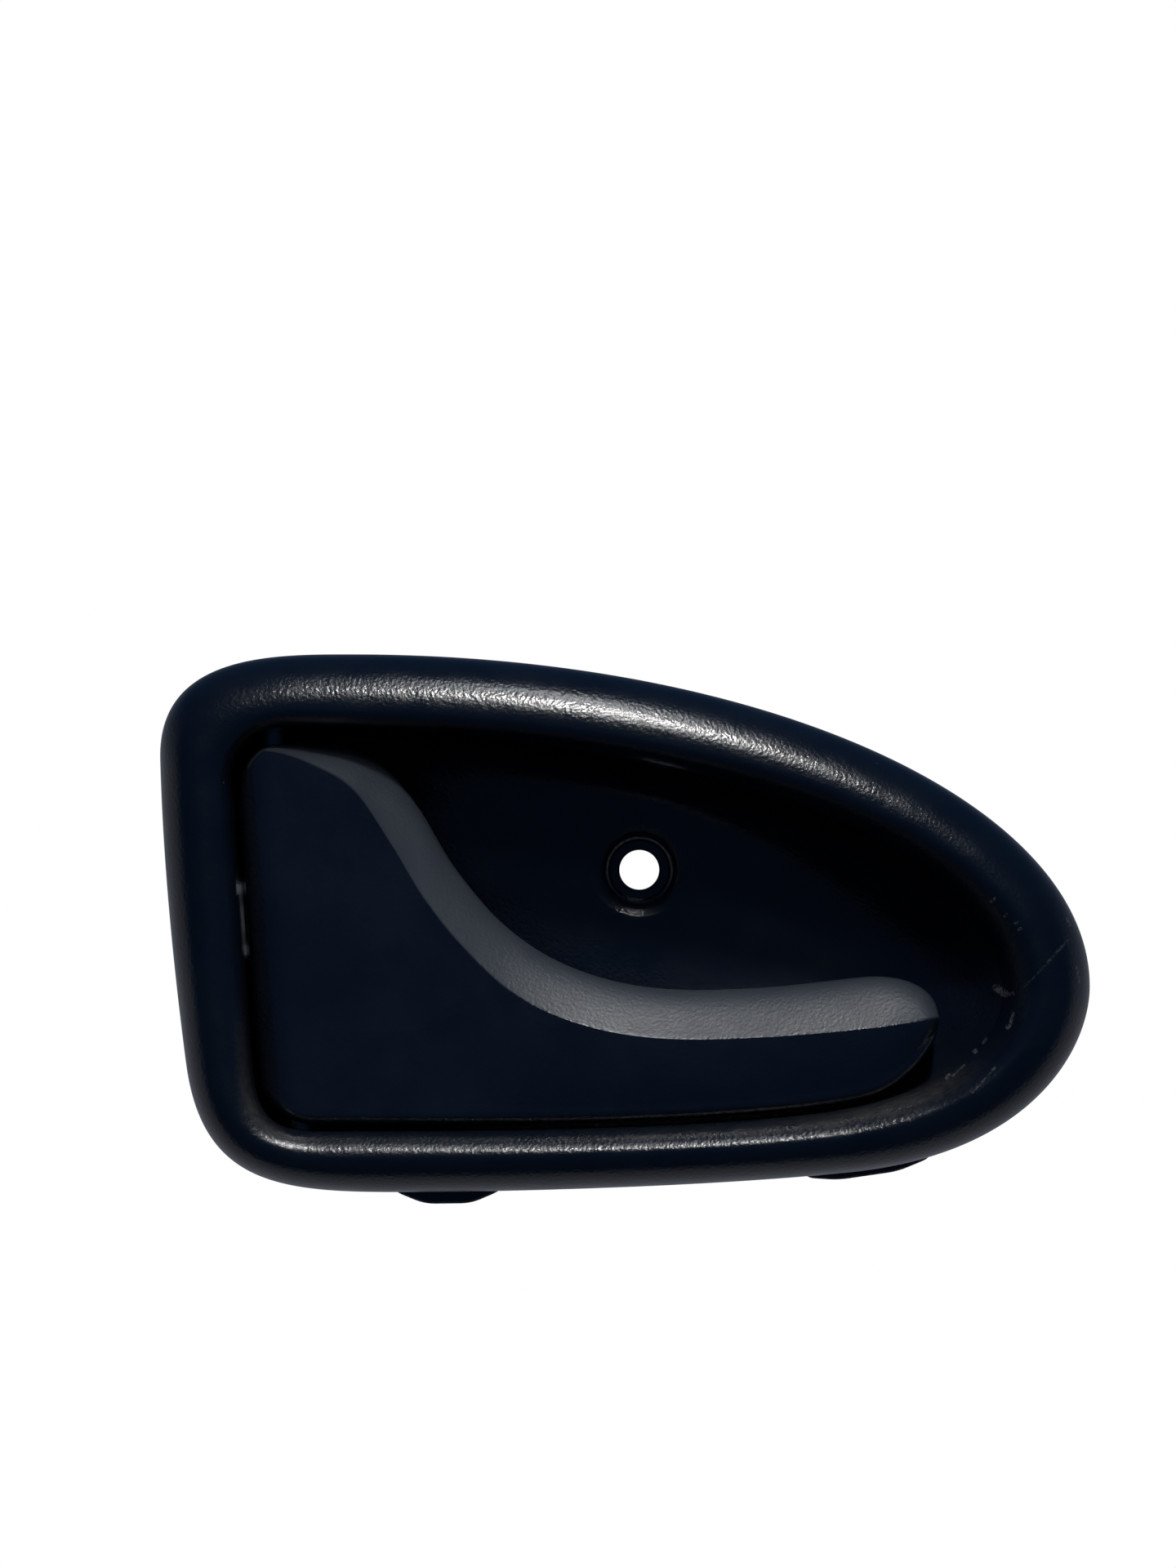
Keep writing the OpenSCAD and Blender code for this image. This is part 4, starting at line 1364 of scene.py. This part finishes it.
    def section(self, low: Array, ridge: Array, top: Array, front: Array, rear: Array) -> Array:
        """The line of the section at each distance from the hinge.

        It runs from the bottom wall's back edge over the face and the ridge, and down the band
        to its back edge.

        Args:
            low: Height of the bottom edge (n,).
            ridge: Height of the ridge.
            top: Height of the top edge.
            front: Depth of the ridge.
            rear: Depth of the back edge.
        Returns:
            Points (n, m, 2) as (v, depth).
        """
        low, ridge, top, front, rear = (a[:, None] for a in (low, ridge, top, front, rear))
        deep = rear - front
        sag = (self.face_low_d - self.ridge_d) / (self.back_tip_d - self.ridge_d)
        bend = np.minimum(self.low_round, (ridge - low) / 3)
        s = np.linspace(0, 1, 4)[None, :-1]
        a = np.linspace(0, np.pi / 2, 10)[None, :]
        x = np.linspace(0, 1, 16)[None, 1:-1]
        y = np.sin(np.linspace(0, np.pi / 2, 36))[None, :]
        shallow = front + deep * (sag + self.low_share)
        crown = np.minimum(1, deep / 5) * x * (1 - x)
        band = self.band_slope * y + (1 - self.band_slope) * roll(y, self.band_edge)
        zones = (
            (low + 0 * s, rear + (shallow - rear) * s),
            (low + bend * (1 - np.cos(a)), front + deep * (sag + self.low_share * (1 - np.sin(a)))),
            (low + bend + (ridge - low - bend) * x, front + deep * sag * (1 - x) - crown),
            (ridge + (top - ridge) * y, front + deep * band),
        )
        return np.concatenate([np.stack(zone, -1) for zone in zones], axis=1)

    def rings(self, u: Array) -> Array:
        """The outer line and the inner line of each section, as one ring.

        The inner line lies inside the wall, which grows thicker in front of the barrels. It lies
        on the back plane where the lever is too narrow for a hollow, and at both its ends.

        Args:
            u: Distances (n,).
        Returns:
            Points (n, m, 2) as (v, depth).
        """
        b, t = self.bezel, self.lever_wall
        low, ridge, top, front = self.low_v(u), self.ridge_v(u), self.top_v(u), self.front_depth(u)
        rear = np.maximum(b.back_depth(u, self.length), front + 1)
        outer = self.section(low, ridge, top, front, rear)
        extra = self.hinge_wall * ease(np.clip((b.barrel_r - u) / b.barrel_r, 0, 1))
        inner = self.section(low + t, ridge - self.ridge_share * t, top - t, front + t + extra, rear)
        share = np.linspace(0, 1, outer.shape[1])[None, :]
        share = self.edge_share + (1 - 2 * self.edge_share) * share
        across = low[:, None] + (top - low)[:, None] * share
        flat = np.stack([across, rear[:, None] + 0 * across], -1)
        solid = (top - low < 6 * t) | (u < -b.roll_r * self.hinge_side_share)
        solid |= u > self.length - self.tip_round
        inner = np.where(solid[:, None, None], flat, inner)
        return np.concatenate([outer, inner[:, ::-1]], axis=1)

    def shell(self) -> Form:
        """The lever's skin as one closed tube of sections.

        Returns:
            The closed form.
        """
        turn = np.linspace(0, np.pi / 2, 26)
        left = -self.bezel.roll_r * np.cos(turn[:-1])
        middle = np.linspace(0, self.length - self.tip_len, 130)
        tip = self.length - self.tip_len * (1 - np.sin(np.linspace(0, np.radians(88.5), 46)[1:]))
        u = np.concatenate([left, middle, tip])
        ring = self.rings(u)
        uvd = np.concatenate([np.broadcast_to(u[:, None, None], ring.shape[:2] + (1,)), ring], -1)
        return skin(self.bezel.hinge.point(uvd), ring=False)

    def barrels(self, coil_end_v: float) -> Form:
        """The three barrels on the hinge's axis.

        Args:
            coil_end_v: Height at which the spring's room ends.
        Returns:
            The three forms as one.
        """
        b = self.bezel
        ends = np.array([-b.barrel_r])
        low, top = float(self.low_v(ends)[0]), float(self.top_v(ends)[0])
        middle = (b.arm_v - b.arm_h / 2, b.arm_v + b.arm_h / 2)
        spans = ((coil_end_v, top), middle, (low, low + self.barrel_len))
        rods = [rod(b.barrel_r, *span, 0.15) for span in spans]
        forms = [turned(b.hinge, (0, 0, b.hinge_d), Along.HINGE, profile) for profile in rods]
        return forms[0].plus(forms[1]).plus(forms[2])

    def arm(self) -> Form:
        """The arm behind the hinge, with a round end.

        Returns:
            The closed form.
        """
        b = self.bezel
        a = np.linspace(0, np.pi, 30)
        half = b.arm_w / 2
        end = np.stack([half * np.cos(a), b.hinge_d + b.arm_len + half * np.sin(a)], -1)
        outline = np.vstack([[-half, b.hinge_d], [half, b.hinge_d], end])

        def put(p: Array) -> Array:
            """Turns (u, depth, v) into metres."""
            return b.hinge.point(np.stack([p[..., 0], p[..., 2], p[..., 1]], -1))

        return plate(outline, b.arm_v - b.arm_h / 2, b.arm_v + b.arm_h / 2, 0.25, put)

    def cuts(self, spring: "ReturnSpring") -> list[Form]:
        """The pin's bore, the swivel's bore, the fork's gap and the spring's room.

        Args:
            spring: The return spring.
        Returns:
            The forms that are cut out.
        """
        b = self.bezel
        end_d = b.hinge_d + b.arm_len
        axis, eye = (0, 0, b.hinge_d), (0, b.arm_v, end_d)
        through = rod(b.pin_r + self.pin_clear, -b.body_h, b.body_h, CUT_EDGE)
        across = rod(self.swivel_r + self.pin_clear, -b.arm_h, b.arm_h, CUT_EDGE)
        pin = turned(b.hinge, axis, Along.HINGE, through)
        bore = turned(b.hinge, eye, Along.HINGE, across)
        near, far = end_d - 0.75 * b.arm_w, end_d + b.arm_w
        fork = rounded([(-b.arm_w, near), (b.arm_w, near), (b.arm_w, far), (-b.arm_w, far)], 0.3)

        def put(p: Array) -> Array:
            """Turns (u, depth, v) into metres."""
            return b.hinge.point(np.stack([p[..., 0], p[..., 2], p[..., 1]], -1))

        slot = plate(fork, b.arm_v - b.arm_h / 4, b.arm_v + b.arm_h / 4, CUT_EDGE, put)
        room_r = spring.coil_r + spring.wire_d / 2 + spring.clear
        room = turned(b.hinge, axis, Along.HINGE, rod(room_r, spring.hub_v, spring.end_v, CUT_EDGE))
        left, front = -2 * b.roll_r, b.hinge_d - 2 * spring.wire_d
        side = [(left, front), (0.0, front), (0.0, b.boss_d), (left, b.boss_d)]
        notch = plate(rounded(side, 0.5), spring.hub_v, spring.end_v, CUT_EDGE, put)
        return [pin, bore, slot, room, notch]

    def build(self, material: bpy.types.Material, spring: "ReturnSpring") -> bpy.types.Object:
        """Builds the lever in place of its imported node.

        Args:
            material: Its finish.
            spring: The return spring, which needs its room.
        Returns:
            The piece.
        """
        obj = self.shell().solid("pull_lever")
        added = [self.barrels(spring.end_v), self.arm()]
        shaped(obj, [f.solid("added") for f in added], [f.solid("cut") for f in self.cuts(spring)])
        points = corners_of(obj)
        uv = self.bezel.hinge.flat(points[:, [0, 2]])
        rolled = np.exp(-(((uv[:, 0] + self.bezel.roll_r - 1.2) / 1.2) ** 2))
        put_value(obj, "dust", 0.22 * rolled * (points[:, 1] < -20))
        # The band above the ridge is marked for painted light: a paler colour standing in for light from
        # above.
        above = np.clip((uv[:, 1] - self.ridge_v(uv[:, 0])) / 0.5, 0, 1)
        put_value(obj, "painted_light_band", ease(above) * (uv[:, 0] > 2 - self.bezel.roll_r))
        finish(obj, material, Body.LEVER, Slot.LEVER, "lever")
        return obj


@dataclass
class ReturnSpring:
    """The torsion spring round the pin: a leg on the arm, the coil and a leg on the mouth's wall."""

    bezel: Bezel
    wire_d: float = 1.1
    coil_r: float = 3.2
    turns: float = 4.5
    clear: float = 0.3
    arm_leg: float = 12.0
    wall_leg: float = 8.5
    turn_gap: float = 0.12
    turn_steps: int = 14
    wire_sides: int = 14

    @property
    def hub_v(self) -> float:
        """Height of the top of the arm's barrel."""
        return self.bezel.arm_v + self.bezel.arm_h / 2

    @property
    def low_v(self) -> float:
        """Height of the coil's first turn."""
        return self.hub_v + self.wire_d / 2 + self.clear

    @property
    def top_v(self) -> float:
        """Height of the coil's last turn."""
        return self.low_v + self.turns * (self.wire_d + self.turn_gap)

    @property
    def end_v(self) -> float:
        """Height at which the spring's room ends."""
        return self.top_v + self.wire_d / 2 + self.clear

    def path(self) -> Array:
        """The wire's middle line as (u, v, depth), smoothed by a Catmull-Rom curve.

        The coil is (r cos(a), low + pitch a, -r sin(a)) round the hinge's axis.

        Returns:
            Points (n, 3), from the arm to the mouth's wall.
        """
        b = self.bezel
        side = b.arm_w / 2 + self.wire_d / 2 + b.face_clear
        wall = b.roll_r + b.lever_gap - b.draft - self.wire_d / 2 - b.face_clear
        leg_v = self.low_v - 0.42 * b.arm_h
        start = [
            (side, leg_v, self.arm_leg), (side, leg_v, 0.8 * self.arm_leg),
            (side, self.low_v + 0.4 * (leg_v - self.low_v), 0.62 * self.arm_leg),
            (side, self.low_v, 0.42 * self.arm_leg),
            (self.coil_r + 0.1, self.low_v, 0.2 * self.arm_leg),
        ]
        end = [
            (-self.coil_r - 0.1, self.top_v, 0.25 * self.wall_leg),
            (-(self.coil_r + wall) / 2, self.top_v, 0.5 * self.wall_leg),
            (-wall, self.top_v, 0.75 * self.wall_leg), (-wall, self.top_v, self.wall_leg),
        ]
        a = np.linspace(0, 2 * np.pi * self.turns, int(self.turns * self.turn_steps) + 1)
        height = self.low_v + (self.top_v - self.low_v) * a / a[-1]
        coil = np.stack([self.coil_r * np.cos(a), height, -self.coil_r * np.sin(a)], -1)
        p = np.vstack([start, coil, end])
        p = np.vstack([2 * p[0] - p[1], p, 2 * p[-1] - p[-2]])
        s = np.linspace(0, 1, 4, endpoint=False)[None, :, None]
        a0, a1, a2, a3 = (p[k : len(p) - 3 + k][:, None] for k in range(4))
        curve = a1 + 0.5 * s * (a2 - a0) + s**2 * (a0 - 2.5 * a1 + 2 * a2 - 0.5 * a3)
        curve = curve + s**3 * (1.5 * a1 - 0.5 * a0 - 1.5 * a2 + 0.5 * a3)
        return np.vstack([curve.reshape(-1, 3), p[-2]]) + np.array([0, 0, b.hinge_d])

    def build(self, material: bpy.types.Material) -> bpy.types.Object:
        """Builds the spring as a round wire.

        Args:
            material: Its finish.
        Returns:
            The piece.
        """
        line = self.path()
        way = np.gradient(line, axis=0)
        way /= length(way)
        side = np.cross(way, np.array([0.0, 1.0, 0.0]))
        side /= length(side)
        up = np.cross(side, way)
        a = np.linspace(0, 2 * np.pi, self.wire_sides, endpoint=False)[None, :, None]
        ring = line[:, None] + self.wire_d / 2 * (np.cos(a) * side[:, None] + np.sin(a) * up[:, None])
        obj = skin(self.bezel.hinge.point(ring), ring=False).solid("torsion_spring")
        obj.data.materials.append(material)
        smooth(obj)
        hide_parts("return_spring")
        depth = self.bezel.hinge_d
        ends = self.bezel.hinge.point(np.array([[0, self.top_v, depth], [0, self.low_v, depth]]))
        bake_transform(obj)
        LOG.info("%s: %d faces between bezel and lever", obj.name, len(obj.data.polygons))
        return obj


@dataclass
class SmallParts:
    """The turned pin, the clip, the rubber buffer and the cable swivel."""

    bezel: Bezel
    lever: Lever
    head_h: float = 1.2
    clip_t: float = 0.8
    pin_tail: float = 0.8
    groove_clear: float = 0.05
    core_r: float = 1.1
    core_reach: float = 6.0
    swivel_end: float = 0.5

    def pin(self, material: bpy.types.Material) -> None:
        """The hinge pin with its domed head and the groove for its clip.

        Args:
            material: Its finish.
        """
        b = self.bezel
        clip_v = b.mouth_low_v - b.wall - b.low_boss_len - b.face_clear - self.clip_t
        low, groove = clip_v - self.pin_tail, 0.7 * b.pin_r
        seat = b.mouth_top_v + b.wall + b.hinge_boss_len + b.face_clear
        head, top = 1.7 * b.pin_r, seat + self.head_h
        profile = [
            (b.pin_r - 0.5, low), (b.pin_r, low + 0.5), (b.pin_r, clip_v - self.groove_clear),
            (groove, clip_v - self.groove_clear), (groove, clip_v + self.clip_t + self.groove_clear),
            (b.pin_r, clip_v + self.clip_t + self.groove_clear), (b.pin_r, seat), (head - 0.1, seat),
            (head, seat + 0.1), (head, top - 0.55), (head - 0.15, top - 0.25),
            (head - 0.6, top - 0.08), (head - 1.4, top),
        ]
        obj = turned(b.hinge, (0, 0, b.hinge_d), Along.HINGE, profile).solid("pin_turned")
        finish(obj, material, Body.BEZEL, Slot.PIN, "hinge_pin")

    def buffer(self, material: bpy.types.Material) -> None:
        """The closed stop's rubber buffer, with a soft edge and a stem in the pad.

        Args:
            material: Its finish.
        """
        b = self.bezel
        top, r = b.buffer_top(self.lever.length), b.buffer_r
        base = top + b.buffer_h
        profile = [
            (r - 0.9, top), (r - 0.4, top + 0.08), (r - 0.1, top + 0.3), (r, top + 0.7),
            (r, base - 0.1), (r - 0.1, base), (b.stem_r, base),
            (b.stem_r, base + b.stem_len - 0.4), (b.stem_r - 0.4, base + b.stem_len),
        ]
        obj = turned(b.hinge, (b.buffer_u, b.buffer_v, 0), Along.DEPTH, profile).solid("stop_buffer")
        finish(obj, material, Body.BEZEL, Slot.BUFFER, "closed_stop_buffer")

    def swivel(self, material: bpy.types.Material) -> None:
        """The swivel in the fork, with the hole for the cable's core.

        Args:
            material: Its finish.
        """
        b, half = self.bezel, self.bezel.arm_h / 2 + self.swivel_end
        at = (0, b.arm_v, b.hinge_d + b.arm_len)
        barrel = rod(self.lever.swivel_r, -half, half, 0.35)
        core = rod(self.core_r, -self.core_reach, self.core_reach, CUT_EDGE)
        obj = turned(b.hinge, at, Along.HINGE, barrel).solid("swivel_turned")
        hole = turned(b.hinge, at, Along.ACROSS, core).solid("cut")
        shaped(obj, [], [hole])
        finish(obj, material, Body.SWIVEL, Slot.SWIVEL, "cable_swivel")

    def clip(self, material: bpy.types.Material) -> None:
        """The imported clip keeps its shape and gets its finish.

        Args:
            material: Its finish.
        """
        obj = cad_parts["pin_clip"]
        for slot in obj.material_slots:
            slot.material = material
        LOG.info("pin_clip dressed")


@dataclass(frozen=True)
class Lamp:
    """A soft rectangular lamp: its place, width and height in millimetres, its power and colour."""

    name: str
    at: Triple
    size: Pair
    watts: float
    colour: Triple

    def hang(self, look_at: Triple, spread_deg: float) -> None:
        """Hangs the lamp so that it looks at the handle.

        Args:
            look_at: The point that it looks at, in millimetres.
            spread_deg: How far its light spreads.
        """
        data = bpy.data.lights.new(self.name, "AREA")
        data.shape = "RECTANGLE"
        data.size, data.size_y = self.size[0] * MM, self.size[1] * MM
        data.energy, data.color = self.watts, self.colour
        data.spread = math.radians(spread_deg)
        obj = bpy.data.objects.new(self.name, data)
        bpy.context.scene.collection.objects.link(obj)
        obj.location = Vector(self.at) * MM
        aim = Vector(look_at) * MM - obj.location
        obj.rotation_euler = aim.to_track_quat("-Z", "Y").to_euler()


LAMPS = (
    Lamp("key", (118, -634, 711), (50, 100), 0.17, (1.0, 0.99, 0.97)),
    Lamp("lower_key", (110, -762, 582), (110, 110), 0.035, (1.0, 0.99, 0.97)),
    Lamp("ceiling", (110, -380, 860), (120, 200), 0.045, (0.94, 0.97, 1.0)),
)


@dataclass
class Studio:
    """The camera at the photograph's place, soft lamps from above, a pale floor and a white room."""

    centre: Pair = (-7.87, 13.16)
    frame_h: float = 236.2
    distance: float = 1200.0
    outline_y: float = -24.0
    sensor: float = 36.0
    clip: Pair = (0.05, 20.0)
    floor_z: float = -300.0
    floor_r: float = 1500.0
    floor_t: float = 10.0
    floor_colour: Triple = (0.86, 0.86, 0.86)
    floor_lift: float = 0.35
    behind: Pair = (-0.12, 0.25)
    below: Pair = (-0.6, 0.2)
    table_gloss: float = 0.2
    dim: float = 0.085
    dim_colour: Triple = (0.16, 0.42, 1.0)
    fill: float = 0.18
    fill_colour: Triple = (0.88, 0.94, 1.0)
    spread_deg: float = 32.0

    def camera(self) -> None:
        """Puts the camera straight in front, so that the frame is frame_h tall at the outline."""
        data = bpy.data.cameras.new("camera")
        data.sensor_fit = "VERTICAL"
        data.sensor_height = self.sensor
        data.lens = self.sensor * self.distance / self.frame_h
        data.clip_start, data.clip_end = self.clip
        obj = bpy.data.objects.new("camera", data)
        bpy.context.scene.collection.objects.link(obj)
        obj.location = Vector((self.centre[0], self.outline_y - self.distance, self.centre[1])) * MM
        obj.rotation_euler = (math.pi / 2, 0, 0)
        bpy.context.scene.camera = obj

    def world(self) -> None:
        """A dim room that the camera sees as white. Glossy rays see the white table behind and
        under the handle, and the dim room elsewhere. Diffuse rays see a plain pale room."""
        world = bpy.data.worlds.new("room")
        bpy.context.scene.world = world
        world.use_nodes = True
        g = Nodes(world.node_tree)
        g.tree.nodes.clear()

        def shine(colour: Triple, strength: float) -> Socket:
            """An even light of one colour."""
            return g.joined(g.add("ShaderNodeBackground"), (*colour, 1), strength).outputs[0]

        def either(share: Socket, first: Socket, second: Socket) -> Socket:
            """The first light where share is 0 and the second where it is 1."""
            return g.joined(g.add("ShaderNodeMixShader"), share, first, second).outputs[0]

        ray = g.add("ShaderNodeLightPath").outputs
        towards = g.add("ShaderNodeTexCoord").outputs["Generated"]
        way = g.joined(g.add("ShaderNodeSeparateXYZ"), towards).outputs
        behind = g.ramp(way["Y"], *self.behind)
        below = g.ramp(g.math("MULTIPLY", way["Z"], -1.0), *self.below)
        gloss = g.math("MULTIPLY", ray["Is Glossy Ray"], self.table_gloss)
        table = g.math("MULTIPLY", gloss, g.math("MULTIPLY", behind, below))
        seen = g.math("MAXIMUM", ray["Is Camera Ray"], ray["Is Transmission Ray"])
        dim, soft = shine(self.dim_colour, self.dim), shine(self.fill_colour, self.fill)
        room = either(ray["Is Diffuse Ray"], dim, soft)
        light = either(g.math("MAXIMUM", seen, table), room, shine((1, 1, 1), 1.0))
        g.joined(g.add("ShaderNodeOutputWorld"), light)

    def floor(self) -> None:
        """A pale round floor well below the handle. It keeps the handle's shadow."""
        a = np.linspace(0, 2 * np.pi, 96, endpoint=False)
        low = -self.floor_t
        rings = np.array([(0.001, 0.0), (self.floor_r, 0.0), (self.floor_r, low), (0.001, low)])
        across, height = rings[:, :1], self.floor_z + rings[:, 1:]
        points = np.stack([across * np.cos(a), across * np.sin(a), height + 0 * a], -1)
        obj = skin(points * MM, ring=False).solid("floor")
        g = Graph("pale_floor")
        g.set(Base_Color=(*self.floor_colour, 1), Roughness=0.9, Emission_Color=(1, 1, 1, 1))
        seen = g.add("ShaderNodeLightPath").outputs["Is Camera Ray"]
        g.set(Emission_Strength=g.math("MULTIPLY", seen, self.floor_lift))
        obj.data.materials.append(g.material)
        obj.visible_glossy = obj.visible_diffuse = False

    def build(self) -> None:
        """Sets the whole studio up."""
        bpy.context.scene.view_settings.view_transform = "Standard"
        self.camera()
        for lamp in LAMPS:
            lamp.hang((self.centre[0], self.outline_y, 0.0), self.spread_deg)
        self.world()
        self.floor()


NOSE_SCUFFS = (
    Scuff((53.6, -17.5), (54.7, -18.3), 0.75, 0.50),
    Scuff((55.1, -18.4), (55.9, -18.2), 0.35, 0.35),
    Scuff((55.8, -21.2), (55.4, -22.8), 0.32, 0.38),
    Scuff((55.3, -23.0), (55.0, -23.3), 0.45, 0.40),
    Scuff((57.4, -17.2), (60.9, -13.4), 0.22, 0.12),
    Scuff((60.9, -13.4), (63.9, -10.2), 0.30, 0.16),
    Scuff((52.0, -25.1), (51.5, -25.8), 0.22, 0.30),
    Scuff((50.4, -26.9), (50.2, -27.1), 0.36, 0.60),
    Scuff((45.9, -30.9), (46.3, -30.5), 0.34, 0.55),
    Scuff((46.8, -30.6), (48.6, -29.0), 0.22, 0.30),
    Scuff((49.6, -32.9), (53.0, -29.2), 0.22, 0.16),
    Scuff((52.6, -29.6), (52.9, -29.2), 0.30, 0.30),
    Scuff((52.4, -4.4), (52.9, -4.0), 0.34, 0.45),
    Scuff((54.4, -6.6), (54.7, -6.3), 0.30, 0.40),
    Scuff((56.0, -7.7), (56.3, -7.5), 0.30, 0.45),
    Scuff((56.5, -8.6), (56.8, -8.4), 0.30, 0.40),
    Scuff((64.0, -7.0), (64.4, -8.1), 0.30, 0.30),
    Scuff((65.3, -14.2), (65.8, -16.6), 0.26, 0.26),
)


BEZEL_SATIN = SatinPlastic("bezel_satin", scuffs=NOSE_SCUFFS)
LEVER_SATIN = SatinPlastic(
    "lever_satin", colour=(0.0030, 0.0056, 0.0130), faded=(0.0045, 0.0078, 0.0165)
)
DRAWN_WIRE = Metal("drawn_wire", (0.045, 0.045, 0.05), 0.42, 0.25, (1, 1, 1))
OXIDE_PIN = Metal("oxide_pin", (0.10, 0.10, 0.105), 0.30, 0.2, (1, 1, 8))
PHOSPHATED_CLIP = Metal("phosphated_clip", (0.16, 0.16, 0.17), 0.5, 0.15, (1, 1, 1))
BLACK_RUBBER = Moulded("black_rubber", (0.018, 0.018, 0.018), 0.75, 0.4, 0.01)
NATURAL_NYLON = Moulded("natural_nylon", (0.72, 0.70, 0.62), 0.42, 0.5, 0.006, 0.1)


def main() -> None:
    """Builds the handle and its studio."""
    logging.basicConfig(level=logging.INFO, format="%(name)s: %(message)s")
    Studio().build()
    bezel = Bezel()
    lever = Lever(bezel)
    spring = ReturnSpring(bezel)
    small = SmallParts(bezel, lever)
    bezel.build(BEZEL_SATIN.build(), lever.length)
    lever.build(LEVER_SATIN.build(), spring)
    spring.build(DRAWN_WIRE.build())
    small.pin(OXIDE_PIN.build())
    small.clip(PHOSPHATED_CLIP.build())
    small.buffer(BLACK_RUBBER.build())
    small.swivel(NATURAL_NYLON.build())


if __name__ == "__main__":
    main()
